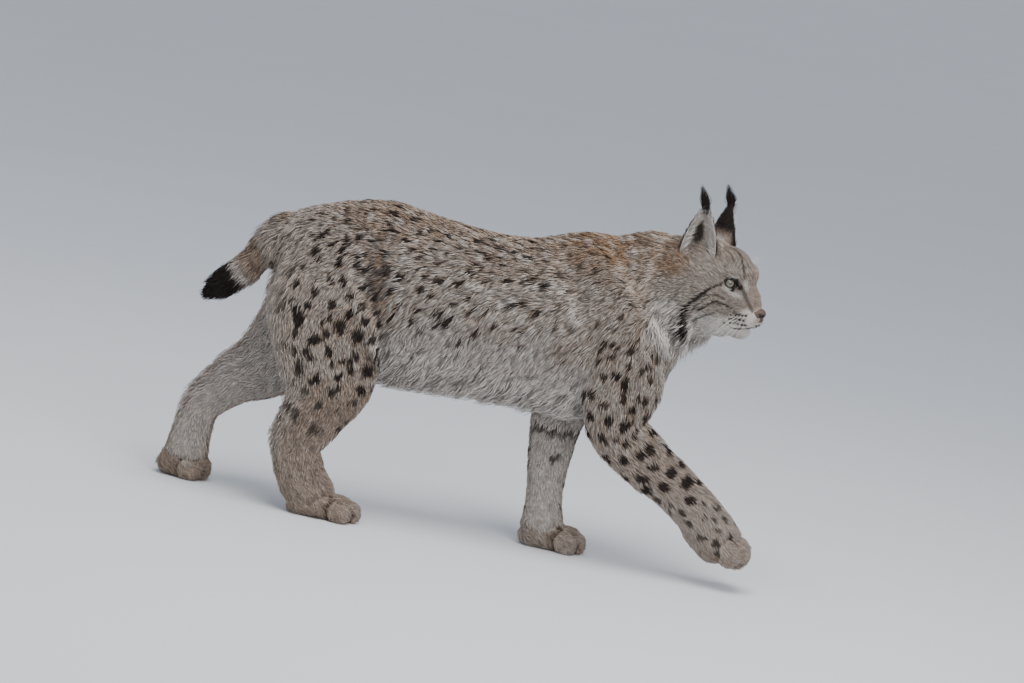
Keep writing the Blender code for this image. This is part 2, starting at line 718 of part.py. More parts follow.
def mouth_cutter(where):
    """A thin blade that follows the lips from one corner of the mouth to the other."""
    left = spline_rows(MOUTH, per_span=3)
    right = left[:0:-1] * np.array((1, -1, 1))
    path = [Vector(p) for p in np.vstack([right, left])]
    points = []
    for p in path:
        out = p - MOUTH_CENTRE
        out.z = 0
        out.normalize()
        for reach in (-MOUTH_DEPTH, MOUTH_REACH):
            points += [p + out * reach + Vector((0, 0, s * MOUTH_GAP / 2)) for s in (-1, 1)]
    faces = []
    for i in range(len(path) - 1):
        a, b = 4 * i, 4 * (i + 1)
        faces += [(a, a + 1, b + 1, b), (a + 1, a + 3, b + 3, b + 1), (a + 3, a + 2, b + 2, b + 3),
                  (a + 2, a, b, b + 2)]
    end = 4 * (len(path) - 1)
    faces += [(0, 2, 3, 1), (end, end + 1, end + 3, end + 2)]
    shape = bmesh.new()
    shape.from_mesh(mesh_of("mouth", points, faces))
    bmesh.ops.recalc_face_normals(shape, faces=shape.faces)
    bmesh.ops.triangulate(shape, faces=shape.faces)
    mesh = mesh_from_bmesh("mouth", shape)
    mesh.transform(head_matrix())
    return cutter("mouth", mesh, where)


def ear_width(t):
    """Half width of the ear's arc at t of the way to its tip."""
    return EAR_HALF_WIDTH * (1 - t ** 2.8) * min(1.0, 0.70 + t) + 0.0035


def ear_mesh(side):
    """The cup of an ear: a bent sheet that narrows to the tip and opens outwards and ahead."""
    rows, columns = EAR_ROWS, EAR_COLUMNS
    opens = Vector((math.cos(EAR_OPENS), math.sin(EAR_OPENS) * side, 0))
    foot, tip = mirrored(EAR_FOOT, side), mirrored(EAR_TIP, side)
    up = (tip - foot).normalized()
    opens = (opens - up * opens.dot(up)).normalized()
    across = up.cross(opens).normalized()
    points = []
    for i in range(rows + 1):
        t = i / rows
        half = ear_width(t)
        spread = EAR_ARC_FOOT + (EAR_ARC_TIP - EAR_ARC_FOOT) * t
        middle = foot + (tip - foot) * t + opens * half * 0.25
        for j in range(columns + 1):
            turn = spread * (2 * j / columns - 1)
            points.append(middle - opens * half * math.cos(turn) * EAR_DEPTH + across * half * math.sin(turn))
    stride = columns + 1
    faces = []
    for i in range(rows):
        for j in range(columns):
            a = i * stride + j
            faces.append((a, a + 1, a + stride + 1, a + stride))
    mesh = mesh_of("ear", points, faces)
    mesh.transform(head_matrix())
    return mesh


def build_ear(side, name, where):
    ear = add_object(name, ear_mesh(side), where)
    wall = ear.modifiers.new("Wall", "SOLIDIFY")
    wall.thickness = EAR_WALL
    wall.offset = 0
    wall.use_even_offset = False
    return applied(ear)


def grown(thing, by, where):
    """A copy of a node, larger by a gap all round, to cut what lies against it."""
    copy = add_object(thing.name + "_grown", thing.data.copy(), where)
    swell = copy.modifiers.new("Swell", "DISPLACE")
    swell.strength = by
    swell.mid_level = 0.0
    applied(copy)
    copy.hide_render = True
    copy.display_type = "WIRE"
    return copy


def lock_mesh(root, outward, lie, length, half_width, flatness=LOCK_FLATNESS):
    """A flat tapered lock: it leaves the surface at a low angle and bends back along the lie of the coat."""
    lie = lie - outward * lie.dot(outward) * LOCK_CLING
    ahead = (lie.normalized() + outward * LOCK_LIFT).normalized()
    sag = (lie.normalized() - outward * LOCK_SAG).normalized()
    at = root - outward * LOCK_SINK
    across = ahead.cross(outward).normalized()
    shape = bmesh.new()
    rings, before = [], 0.0
    for part, wide in LOCK_TAPER:
        at = at + ahead.lerp(sag, part) * (length + LOCK_SINK) * (part - before)
        before = part
        half = half_width * wide
        face = across.cross(ahead.lerp(sag, part)).normalized()
        corners = (across, face * flatness, -across, -face * flatness)
        rings.append([shape.verts.new(at + c * half) for c in corners])
    tip = shape.verts.new(at + sag * (length + LOCK_SINK) * (1 - before))
    for low, high in zip(rings, rings[1:]):
        for i in range(4):
            shape.faces.new((low[i], low[(i + 1) % 4], high[(i + 1) % 4], high[i]))
    for i in range(4):
        shape.faces.new((rings[-1][i], rings[-1][(i + 1) % 4], tip))
    shape.faces.new(rings[0][::-1])
    bmesh.ops.triangulate(shape, faces=shape.faces)
    bmesh.ops.recalc_face_normals(shape, faces=shape.faces)
    return mesh_from_bmesh("lock", shape)


def surface_of(thing):
    shape = bmesh.new()
    shape.from_mesh(thing.data)
    tree = BVHTree.FromBMesh(shape)
    shape.free()
    return tree


def row_of_locks(surface, row, draw, turn=Matrix()):
    """The locks of one row, each set on the surface where it is nearest to its place in the row."""
    count, (start, middle, end), lie, length, half_width = row
    start, middle, end, lie = (Vector(v) for v in (start, middle, end, lie))
    locks = []
    for i in range(count):
        t = (i + 0.5 + draw.uniform(-0.2, 0.2)) / count
        bend = middle * 2 - (start + end) / 2
        place = turn @ (start * (1 - t) ** 2 + bend * 2 * t * (1 - t) + end * t * t)
        root, outward, _, _ = surface.find_nearest(place)
        way = turn.to_3x3() @ (lie + Vector([draw.uniform(-0.12, 0.12) for _ in range(3)]))
        size = draw.uniform(0.86, 1.12)
        locks.append(lock_mesh(root, outward, way, length * size, half_width * draw.uniform(0.85, 1.1)))
    return locks


def both_sides(rows):
    """The rows as given and mirrored in Y."""
    flip = Vector((1, -1, 1))
    for count, points, lie, length, half_width in rows:
        yield count, points, lie, length, half_width
        yield count, tuple(Vector(p) * flip for p in points), Vector(lie) * flip, length, half_width


def tail_rows(row):
    """Rows that run along the tail, side by side round it."""
    count, start, end, length, half_width = row
    start, end, lie = Vector(start), Vector(end), Vector(TAIL_LIE)
    up = Vector((0, 1, 0)).cross(lie).normalized()
    for turn in TAIL_TURNS:
        out = (up * math.sin(turn) + Vector((0, 1, 0)) * math.cos(turn)) * 0.05
        points = (start + out, (start + end) / 2 + out, end + out)
        yield count, points, lie, length, half_width


def tuft_locks(side, draw):
    """The long narrow locks at the tip of an ear, in the head frame, which end near the tuft's point."""
    foot, tip = mirrored(EAR_TIP, side), mirrored(TUFT_TIP, side)
    locks = []
    for i in range(TUFT_LOCKS):
        spread = Vector((0.014 * (i / (TUFT_LOCKS - 1) - 0.5), 0.003 * (-1) ** i, 0))
        root = foot - Vector((0, 0, 0.004 + abs(spread.x))) + spread * 0.8
        end = tip + spread * 0.5 - Vector((0, 0, draw.uniform(0.0, 0.014)))
        way = end - root
        outward = way.cross(Vector((0, side, 0.1))).normalized() * (1 if i % 2 else -1)
        locks.append(lock_mesh(root, outward, way, way.length, TUFT_HALF_WIDTH, 0.6))
    for mesh in locks:
        mesh.transform(head_matrix())
    return locks


def fuse(thing, meshes, where):
    """Joins the closed meshes to the node in one union and keeps its one closed surface."""
    for mesh in meshes:
        add_object("lock", mesh, where)
    boolean(thing, "UNION", collection_of=where)
    for lock in list(where.objects):
        bpy.data.objects.remove(lock)
    return keep_largest(thing)


def cut_clear(thing, others, where):
    """Cuts a node clear of its neighbours by the gap; their swollen locks cross, which one solver takes best."""
    for other in others:
        grown(other, CLEARANCE, where)
    cut_away(thing, where, solvers=("MANIFOLD", "EXACT"))
    return keep_largest(thing)


def finish_node(thing):
    """Names the mesh after its node, and gives it a material of its own and smooth shading."""
    thing.data.name = thing.name
    thing.data.materials.clear()
    thing.data.materials.append(material(thing.name, *FINISHES.get(thing.name, COAT_FINISH)))
    thing.data.shade_smooth()
    thing.data.set_sharp_from_angle(angle=SHARP_ANGLE)


def centred(things):
    """Moves the meshes together so that the middle of their box stands over the origin."""
    points = [v.co for thing in things for v in thing.data.vertices]
    middle = [(min(p[i] for p in points) + max(p[i] for p in points)) / 2 for i in range(2)]
    for thing in things:
        thing.data.transform(Matrix.Translation((-middle[0], -middle[1], 0)))


def parted_body(lynx, cutters):
    """The body's nodes, without their locks."""
    body = joined("body", flesh_meshes(), lynx)
    blended(body, BODY_VOXEL, 4, BODY_TRIANGLES)
    cut_at_floor(body)
    for name, (middle, normal, long_way, wide) in CUTS.items():
        slab(name, middle, normal, long_way, wide, cutters)
    for sides, line in LEG_LINES:
        leg_sheet("leg_line", sides, line, cutters)
    cut_away(body, cutters)
    return named_parts(body, lynx)


def add_body_locks(nodes, cutters, draw):
    """Fuses the coat's long locks to the nodes that carry them, each node clear of the ones before it."""
    rows = {
        "thigh_right": THIGH_RIGHT_ROWS,
        "thigh_left": THIGH_LEFT_ROWS,
        "torso": (*both_sides(BELLY_ROWS), *both_sides(CHEST_ROWS), *both_sides(BREECH_ROWS)),
        "tail": tuple(tail_rows(TAIL_ROW)),
        "tail_tip": tuple(tail_rows(TAIL_TIP_ROW)),
    }
    neighbours = {
        "thigh_right": ("shank_right",),
        "thigh_left": ("shank_left",),
        "torso": ("thigh_right", "thigh_left", "foreleg_right", "foreleg_left"),
        "tail": ("torso", "thigh_right", "thigh_left"),
        "tail_tip": ("tail",),
    }
    for name, node_rows in rows.items():
        surface = surface_of(nodes[name])
        locks = [lock for row in node_rows for lock in row_of_locks(surface, row, draw)]
        fuse(nodes[name], locks, cutters)
        cut_clear(nodes[name], [nodes[other] for other in neighbours[name]], cutters)
    cut_clear(nodes["neck"], [nodes["torso"]], cutters)


def build_head(nodes, lynx, cutters, draw):
    """The head with its ruff, opened for the eyes, the nose and the mouth."""
    head = joined("head", head_meshes(), lynx)
    blended(head, HEAD_VOXEL, 3, HEAD_TRIANGLES)
    at, normal = Vector(CUTS["head"][0]), Vector(CUTS["head"][1]).normalized()
    bisected(head, at + normal * GAP / 2, normal)
    for side in (1, -1):
        lid_opening(side, cutters)
        ball("socket", mirrored(EYE_AT, side), (EYE_RADIUS,) * 3, cutters, grow=GAP)
    ball("nose_seat", NOSE_AT, NOSE_HALF, cutters, grow=GAP)
    mouth_cutter(cutters)
    cut_away(head, cutters)
    surface = surface_of(head)
    locks = [lock for row in both_sides(RUFF_ROWS) for lock in row_of_locks(surface, row, draw, head_matrix())]
    fuse(keep_largest(head), locks, cutters)
    return cut_clear(head, [nodes["torso"], nodes["neck"]], cutters)


def main():
    clear_scene()
    lynx = collection("lynx")
    cutters = collection("cutters", hidden=True)
    draw = random.Random(LOCK_SEED)

    nodes = parted_body(lynx, cutters)
    add_body_locks(nodes, cutters, draw)
    nodes["head"] = build_head(nodes, lynx, cutters, draw)
    for side, label in ((1, "left"), (-1, "right")):
        ear = build_ear(side, "ear_" + label, lynx)
        fuse(ear, tuft_locks(side, draw), cutters)
        nodes[ear.name] = cut_clear(ear, [nodes["head"], nodes["neck"]], cutters)
        nodes["eye_" + label] = ball("eye_" + label, mirrored(EYE_AT, side), (EYE_RADIUS,) * 3, lynx)

    nodes["nose"] = ball("nose", NOSE_AT, NOSE_HALF, lynx)
    for side in (1, -1):
        ball("nostril", mirrored(NOSTRIL_AT, side), NOSTRIL_HALF, cutters, segments=10, rings=6)
    cut_away(nodes["nose"], cutters)

    centred(nodes.values())
    for thing in nodes.values():
        finish_node(thing)


main()
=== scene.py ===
import math
from functools import reduce

import bmesh
import bpy
import numpy as np
from mathutils import Matrix, Vector
from mathutils.bvhtree import BVHTree


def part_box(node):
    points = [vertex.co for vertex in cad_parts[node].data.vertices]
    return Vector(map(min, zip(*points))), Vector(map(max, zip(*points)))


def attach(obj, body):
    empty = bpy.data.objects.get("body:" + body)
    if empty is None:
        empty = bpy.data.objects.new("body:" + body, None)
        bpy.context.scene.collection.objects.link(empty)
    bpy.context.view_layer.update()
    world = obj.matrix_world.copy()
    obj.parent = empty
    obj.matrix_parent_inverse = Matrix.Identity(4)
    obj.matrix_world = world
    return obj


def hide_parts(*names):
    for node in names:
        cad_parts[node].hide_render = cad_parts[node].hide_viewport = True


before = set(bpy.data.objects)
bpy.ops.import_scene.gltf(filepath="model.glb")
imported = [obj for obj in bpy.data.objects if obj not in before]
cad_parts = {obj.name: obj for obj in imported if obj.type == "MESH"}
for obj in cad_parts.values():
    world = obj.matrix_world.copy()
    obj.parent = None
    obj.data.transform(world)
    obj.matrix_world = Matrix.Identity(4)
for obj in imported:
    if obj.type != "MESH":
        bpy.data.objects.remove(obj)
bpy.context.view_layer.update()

BODY = "root"
SEED = 11

# Places that the solids were built from, in metres. The toes are set further apart than the solids' toes.
HEAD_AT = Vector((0.430, 0.0, 0.600))
HEAD_YAW = math.radians(-24.0)
TORSO = (
    (-0.425, 0.590, 0.470, 0.056), (-0.380, 0.616, 0.392, 0.090), (-0.300, 0.645, 0.330, 0.110),
    (-0.215, 0.655, 0.308, 0.115), (-0.130, 0.643, 0.300, 0.111), (-0.040, 0.632, 0.302, 0.115),
    (0.060, 0.633, 0.306, 0.122), (0.140, 0.656, 0.304, 0.124), (0.210, 0.668, 0.302, 0.118),
    (0.270, 0.664, 0.312, 0.104), (0.325, 0.640, 0.345, 0.080),
)
NECK = (
    (0.200, 0.000, 0.545, 0.110, 0.092), (0.270, 0.000, 0.563, 0.110, 0.086),
    (0.335, -0.004, 0.584, 0.110, 0.084), (0.400, -0.012, 0.598, 0.096, 0.078),
)
BREAST = (
    (0.285, 0.000, 0.500, 0.080, 0.075), (0.305, 0.000, 0.430, 0.068, 0.066),
    (0.300, 0.000, 0.370, 0.060, 0.052),
)
TAIL = (
    (-0.372, 0.000, 0.562, 0.036, 0.034), (-0.418, 0.000, 0.552, 0.046, 0.038),
    (-0.450, 0.000, 0.521, 0.042, 0.036), (-0.482, 0.000, 0.482, 0.033, 0.032),
    (-0.517, 0.000, 0.446, 0.031, 0.030), (-0.540, 0.000, 0.424, 0.028, 0.028),
    (-0.552, 0.000, 0.413, 0.022, 0.022),
)
FORE_RIGHT = (
    (0.190, -0.066, 0.600, 0.060, 0.040), (0.250, -0.084, 0.500, 0.082, 0.046),
    (0.296, -0.088, 0.400, 0.084, 0.050), (0.300, -0.084, 0.300, 0.066, 0.050),
    (0.365, -0.078, 0.236, 0.057, 0.043), (0.430, -0.074, 0.196, 0.050, 0.038),
    (0.487, -0.071, 0.153, 0.048, 0.040), (0.522, -0.070, 0.120, 0.050, 0.042),
    (0.546, -0.069, 0.098, 0.048, 0.043),
)
FORE_LEFT = (
    (0.190, 0.066, 0.600, 0.060, 0.040), (0.230, 0.084, 0.500, 0.080, 0.046),
    (0.240, 0.082, 0.400, 0.078, 0.050), (0.188, 0.064, 0.290, 0.060, 0.047),
    (0.179, 0.052, 0.200, 0.046, 0.040), (0.183, 0.042, 0.110, 0.037, 0.035),
    (0.189, 0.037, 0.052, 0.042, 0.039),
)
HIND_RIGHT = (
    (-0.320, -0.062, 0.540, 0.085, 0.046), (-0.316, -0.078, 0.440, 0.118, 0.052),
    (-0.300, -0.088, 0.350, 0.106, 0.054), (-0.288, -0.092, 0.275, 0.090, 0.048),
    (-0.306, -0.090, 0.205, 0.064, 0.040), (-0.330, -0.087, 0.143, 0.053, 0.034),
    (-0.316, -0.085, 0.085, 0.050, 0.036), (-0.288, -0.085, 0.045, 0.048, 0.038),
)
HIND_LEFT = (
    (-0.320, 0.062, 0.540, 0.085, 0.046), (-0.330, 0.078, 0.440, 0.112, 0.052),
    (-0.362, 0.088, 0.350, 0.098, 0.054), (-0.420, 0.092, 0.268, 0.076, 0.047),
    (-0.487, 0.089, 0.216, 0.052, 0.039), (-0.540, 0.087, 0.158, 0.039, 0.034),
    (-0.556, 0.085, 0.105, 0.040, 0.035), (-0.561, 0.085, 0.055, 0.044, 0.038),
)
# Each paw: heel, toe tips, how far the heel is raised, height.
PAWS = {
    "fore_left": ((0.150, 0.036, -0.003), (0.294, 0.031, -0.003), 0.000, 0.058),
    "hind_right": ((-0.332, -0.085, -0.003), (-0.170, -0.086, -0.003), 0.000, 0.056),
    "hind_left": ((-0.608, 0.085, -0.003), (-0.498, 0.086, -0.003), 0.004, 0.058),
    "fore_right": ((0.500, -0.071, 0.074), (0.612, -0.066, 0.040), 0.004, 0.068),
}
PAW_HALF_WIDTH = 0.045
# The pad's stations: the part of the paw's length, of its height, half height and half width there.
PAD = ((0.16, 0.46, 0.46, 0.72), (0.42, 0.50, 0.52, 0.92), (0.68, 0.46, 0.47, 0.98))
TOES = 4
TOE_RADIUS = 0.0205
TOE_LENGTH = 0.030
TOE_NARROWING = 0.80
TOE_SWELL = 1.1
OUTER_TOE_BACK = 0.026
TOE_ROOTS_APART = 0.55
TOE_TIPS_APART = 0.74

# Head masses in the head frame: middle, then half sizes along, across and up. A y other than 0 is mirrored.
HEAD_MASSES = (
    ((-0.008, 0.000, 0.034), (0.084, 0.070, 0.062)),
    ((0.032, 0.000, 0.042), (0.063, 0.044, 0.047)),
    ((-0.060, 0.000, 0.005), (0.060, 0.066, 0.075)),
    ((-0.004, 0.043, -0.024), (0.058, 0.040, 0.058)),
    ((-0.022, 0.050, -0.064), (0.042, 0.033, 0.054)),
    ((0.016, 0.030, -0.048), (0.060, 0.040, 0.050)),
    ((0.066, 0.000, 0.036), (0.040, 0.034, 0.034)),
    ((0.081, 0.000, 0.019), (0.025, 0.026, 0.028)),
    ((0.058, 0.031, 0.040), (0.026, 0.020, 0.014)),
    ((0.038, 0.038, -0.018), (0.042, 0.028, 0.034)),
    ((0.040, 0.000, -0.060), (0.058, 0.045, 0.036)),
    ((0.086, 0.000, -0.074), (0.025, 0.021, 0.019)),
    ((0.102, 0.018, -0.047), (0.026, 0.020, 0.020)),
)
MUZZLE = (
    (0.045, 0.0, -0.006, 0.060, 0.056), (0.070, 0.0, -0.012, 0.055, 0.043),
    (0.087, 0.0, -0.018, 0.041, 0.032), (0.100, 0.0, -0.028, 0.032, 0.024),
    (0.112, 0.0, -0.038, 0.023, 0.019),
)
EYE_AT = Vector((0.0585, 0.0335, 0.0190))
EYE_RADIUS = 0.0135
LID_THICKNESS = 0.0034
EYE_TURN = math.radians(24.0)
LID_HALF_LENGTH = 0.0163
LID_HALF_HEIGHT = 0.0117
LID_SLANT = math.radians(24.0)
NOSE_AT = Vector((0.1240, 0.0, -0.0315))
NOSE_HALF = Vector((0.0140, 0.0150, 0.0115))
NOSE_WING_AT = (0.1165, 0.0112, -0.0345)
NOSE_WING_HALF = (0.0130, 0.0066, 0.0080)
# The round part of each nostril, then its slit: middle and half sizes.
NOSTRIL = (
    (Vector((0.1345, 0.0066, -0.0352)), Vector((0.0060, 0.0030, 0.0030))),
    (Vector((0.1290, 0.0125, -0.0350)), Vector((0.0075, 0.0040, 0.0019))),
)
MOUTH = (
    (0.1290, 0.0, -0.0560), (0.1240, 0.0130, -0.0590), (0.1080, 0.0280, -0.0690),
    (0.0880, 0.0380, -0.0690), (0.0660, 0.0460, -0.0610),
)
EAR_FOOT = Vector((-0.012, 0.059, 0.030))
EAR_TIP = Vector((-0.006, 0.066, 0.165))
EAR_HALF_WIDTH = 0.0335
EAR_OPENS = math.radians(64.0)
TUFT_TIP = Vector((-0.024, 0.070, 0.206))

SKIN_VOXEL = 0.0028
# How much of its triangles the skin keeps away from the face.
SKIN_KEPT = 0.42
# The skin and the coat stay just above the floor.
SKIN_LOWEST = 0.0008
COAT_LOWEST = 0.0006
CLEFT_DEPTH = 0.0100
CLEFT_HALF_WIDTH = 0.0045
SOCKET_GAP = 0.0002
LIP_RADIUS = 0.0021
MOUTH_GAP = 0.0018
MOUTH_DEPTH = 0.0120
# This far out from the mouth's line is outside the head.
MOUTH_OUTSIDE = 0.03
MOUTH_CENTRE = Vector((0.060, 0.0, -0.062))
GAZE_OUT = math.radians(30.0)
# How far the dark hollow of the ear stands towards its rear edge, as a share of its half arc.
HOLLOW_BACK = 0.12
# Hair stands clear of the eyes, the mouth's line and, as a share of its half sizes, the nose.
EYE_CLEAR = 0.0028
MOUTH_CLEAR = 0.0030
NOSE_CLEAR = 1.05
EAR_TUFTS = 3600
BRUSH_HAIRS = 170
# How far along a tuft each of its seven points stands, which lightens its colour, and the same for the skin.
TUFT_TIPS = (0.1, 0.1, 0.1, 0.6, 0.6, 0.6, 1.0)
SKIN_TIP = 0.3

# Finishes


class Value:
    """An output of a material's node. Sums and products with it add Math nodes."""

    def __init__(self, socket):
        self.socket = socket

    def node(self, kind, settings=None, inputs=None, out=0):
        """Adds a node to the same material: settings first, then the values or links of its sockets."""
        tree = self.socket.id_data
        made = tree.nodes.new(kind)
        for name, value in (settings or {}).items():
            if name == "stops":
                for i, (place, colour) in enumerate(value):
                    stop = made.color_ramp.elements[i] if i < 2 else made.color_ramp.elements.new(place)
                    stop.position = place
                    stop.color = (*colour, 1.0)
            else:
                setattr(made, name, value)
        for name, value in (inputs or {}).items():
            if isinstance(value, Value):
                tree.links.new(value.socket, made.inputs[name])
            elif isinstance(value, tuple) and len(value) == 3 and made.inputs[name].type == "RGBA":
                made.inputs[name].default_value = (*value, 1.0)
            else:
                made.inputs[name].default_value = value
        return Value(made.outputs[out])

    def maths(self, operation, *values):
        return self.node("ShaderNodeMath", {"operation": operation}, dict(enumerate(values)))

    def __add__(self, other):
        return self.maths("ADD", self, other)

    def __sub__(self, other):
        return self.maths("SUBTRACT", self, other)

    def __rsub__(self, other):
        return self.maths("SUBTRACT", other, self)

    def __mul__(self, other):
        return self.maths("MULTIPLY", self, other)

    __radd__ = __add__
    __rmul__ = __mul__

    def mixed(self, first, second):
        """The colour between two, with this value as the share of the second."""
        return self.node("ShaderNodeMix", {"data_type": "RGBA", "clamp_factor": True},
                         {0: self, 6: first, 7: second}, out=2)


def finish_material(name, roughness, **constants):
    """A new material, its shader's node and a Value to start the other nodes from."""
    made = bpy.data.materials.new(name)
    made.use_nodes = True
    shader = made.node_tree.nodes["Principled BSDF"]
    shader.inputs["Roughness"].default_value = roughness
    for socket, value in constants.items():
        shader.inputs[socket.replace("_", " ")].default_value = value
    return made, shader, Value(shader.outputs[0])


def feed(shader, socket, value):
    shader.id_data.links.new(value.socket, shader.inputs[socket])


# Coat colours: the ground, the pale underside, the warm back, the markings.
GREY_TAN = (0.255, 0.200, 0.160)
GREY_TAN_TIP = (0.480, 0.420, 0.370)
PALE = (0.64, 0.60, 0.56)
WARM = (0.300, 0.195, 0.125)
DARK = (0.018, 0.012, 0.010)


def coat_material(name):
    """Hair that is tipped lighter than its root, with the markings that the mesh carries."""
    made, shader, start = finish_material(name, 0.75, Specular_IOR_Level=0.25)
    marks = start.node("ShaderNodeAttribute", {"attribute_name": "marks"})
    spots = start.node("ShaderNodeSeparateColor", {}, {0: marks})
    pale, warm = (Value(spots.socket.node.outputs[i]) for i in (1, 2))
    shade = Value(marks.socket.node.outputs["Alpha"])
    tip = start.node("ShaderNodeAttribute", {"attribute_name": "tip"}, out=2)
    place = start.node("ShaderNodeTexCoord", out=3)
    patches = start.node("ShaderNodeTexNoise", {}, {"Vector": place, "Scale": 24.0, "Detail": 3.0})
    ground = (tip * 0.8 + shade * 0.35 - 0.1 + patches * 0.2 - 0.1).mixed(GREY_TAN, GREY_TAN_TIP)
    for share, colour in ((warm, WARM), (pale, PALE), (spots, DARK)):
        ground = share.mixed(ground, colour)
    lit = start.node("ShaderNodeVectorMath", {"operation": "SCALE"},
                     {0: ground, "Scale": shade * 0.45 + 0.775})
    feed(shader, "Base Color", lit)
    return made


def skin_material(name, colour, second, roughness, scale, bump, painted_shade_hollows=()):
    """Bare skin or horn in two tones with a fine grain, with painted shade that darkens it towards the middle of
    each hollow given.
    """
    made, shader, start = finish_material(name, roughness, Specular_IOR_Level=0.45)
    place = start.node("ShaderNodeTexCoord", out=3)
    grain = start.node("ShaderNodeTexVoronoi", {"feature": "F1"}, {"Vector": place, "Scale": scale})
    tone = start.node("ShaderNodeTexNoise", {}, {"Vector": place, "Scale": scale * 0.12, "Detail": 3.0})
    tint = tone.mixed(colour, second)
    # Painted shade: near each hollow's middle the colour turns almost black.
    for middle, reach in painted_shade_hollows:
        gap = start.node("ShaderNodeVectorMath", {"operation": "DISTANCE"}, {0: place, 1: tuple(middle)},
                         out=1)
        tint = (2.6 - gap * (1.8 / reach)).mixed(tint, (0.012, 0.008, 0.007))
    feed(shader, "Base Color", tint)
    bumps = {"Strength": bump, "Distance": 0.0006, "Height": grain}
    feed(shader, "Normal", start.node("ShaderNodeBump", {}, bumps))
    return made


def eye_material():
    """Iris, pupil, dark rim and, beyond the rim, a dark brown sclera that is painted shade, by the distance from
    the eye's axis, under a clear wet coat.
    """
    made, shader, start = finish_material("eye", 0.20, Coat_Weight=1.0, Coat_Roughness=0.03)
    gaze = start.node("ShaderNodeAttribute", {"attribute_name": "gaze"}, out=1)
    flat = gaze.node("ShaderNodeVectorMath", {"operation": "MULTIPLY"}, {0: gaze, 1: (1.0, 1.0, 0.0)})
    out = flat.node("ShaderNodeVectorMath", {"operation": "LENGTH"}, {0: flat}, out=1)
    threads = gaze.node("ShaderNodeTexNoise", {}, {"Vector": gaze, "Scale": 900.0, "Detail": 4.0})
    # The distance in centimetres.
    reach = out * 100.0
    # The last stop is painted shade: the sclera outside the iris is dark brown, as if the lids shaded it.
    colour = reach.node("ShaderNodeValToRGB", {"stops": (
        (0.0, (0.003, 0.003, 0.003)), (0.225, (0.003, 0.003, 0.003)), (0.255, (0.11, 0.10, 0.062)),
        (0.42, (0.155, 0.15, 0.10)), (0.74, (0.13, 0.125, 0.085)), (0.83, (0.05, 0.04, 0.025)),
        (0.87, (0.012, 0.008, 0.006)), (1.0, (0.03, 0.02, 0.015)),
    )}, {0: reach})
    veil = (threads * 0.5).mixed(colour, (0.10, 0.085, 0.04))
    iris = reach.maths("COMPARE", reach, 0.50, 0.24)
    feed(shader, "Base Color", iris.mixed(colour, veil))
    return made


# Meshes


def add_object(name, mesh):
    made = bpy.data.objects.new(name, mesh)
    bpy.context.scene.collection.objects.link(made)
    return made


def mesh_of(name, points, faces):
    made = bpy.data.meshes.new(name)
    made.from_pydata([tuple(p) for p in points], [], faces)
    made.update()
    return made


def mesh_from_bmesh(name, shape):
    made = bpy.data.meshes.new(name)
    shape.to_mesh(made)
    shape.free()
    return made


def surface_of(thing):
    """The object's faces in a form that rays can be cast on."""
    mesh = thing.data
    return BVHTree.FromPolygons([v.co for v in mesh.vertices], [p.vertices for p in mesh.polygons])


def mirrored(point, side):
    return Vector((point[0], point[1] * side, point[2]))


def head_matrix():
    return Matrix.Translation(HEAD_AT) @ Matrix.Rotation(HEAD_YAW, 4, "Z")


def from_head(mesh):
    mesh.transform(head_matrix())
    return mesh


# The solids were moved a little after they were built: the middle of their box is over the origin.
eye_low, eye_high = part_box("eye_left")
SHIFT = (Vector(eye_low) + Vector(eye_high)) / 2 - head_matrix() @ EYE_AT


def spline_rows(rows, per_span=4):
    """Rows of numbers with the points of a Catmull-Rom curve set between them."""
    rows = np.array(rows, float)
    padded = np.vstack([2 * rows[0] - rows[1], rows, 2 * rows[-1] - rows[-2]])
    out = []
    for i in range(len(rows) - 1):
        a, b, c, d = padded[i : i + 4]
        for step in range(per_span):
            t = step / per_span
            out.append(
                0.5 * (2 * b + (c - a) * t + (2 * a - 5 * b + 4 * c - d) * t * t
                       + (3 * b - a - 3 * c + d) * t ** 3)
            )
    out.append(rows[-1])
    return np.array(out)


def ring(middle, along, half_depth, half_width, sides):
    """An ellipse round middle, across the direction along; its width runs as near to Y as it can."""
    across = Vector((0, 1, 0))
    across = (across - along * across.dot(along)).normalized()
    deep = across.cross(along)
    return [
        middle + deep * half_depth * math.cos(turn) + across * half_width * math.sin(turn)
        for turn in (math.tau * i / sides for i in range(sides))
    ]


def dome_ring(section, sign, step, steps):
    """One ring of the dome that closes a tube: it shrinks as it moves out past the end section."""
    middle, along, half_depth, half_width = section
    angle = 0.5 * math.pi * step / (steps + 1)
    out = sign * min(half_depth, half_width) * math.sin(angle)
    return (middle + along * out, along, half_depth * math.cos(angle), half_width * math.cos(angle))


def loft(stations, sides=28, per_span=6, cap_rings=4, upright=False):
    """A closed tube of elliptic sections through the stations, with domed ends."""
    rows = spline_rows(stations, per_span)
    middles = [Vector(r[:3]) for r in rows]
    rings = []
    for i, row in enumerate(rows):
        ahead = middles[min(i + 1, len(rows) - 1)]
        behind = middles[max(i - 1, 0)]
        along = Vector((1, 0, 0)) if upright else (ahead - behind).normalized()
        rings.append((middles[i], along, row[3], row[4]))
    first, last = rings[0], rings[-1]
    start = [dome_ring(first, -1, k, cap_rings) for k in range(cap_rings, 0, -1)]
    end = [dome_ring(last, 1, k, cap_rings) for k in range(1, cap_rings + 1)]
    rings = start + rings + end
    points = [p for r in rings for p in ring(*r, sides)]
    poles = [first[0] - first[1] * min(first[2:]), last[0] + last[1] * min(last[2:])]
    faces = []
    for i in range(len(rings) - 1):
        for j in range(sides):
            k = (j + 1) % sides
            faces.append((i * sides + j, i * sides + k, (i + 1) * sides + k, (i + 1) * sides + j))
    low, high = len(points), len(points) + 1
    top = (len(rings) - 1) * sides
    for j in range(sides):
        k = (j + 1) % sides
        faces.append((low, k, j))
        faces.append((high, top + j, top + k))
    return mesh_of("loft", points + poles, faces)


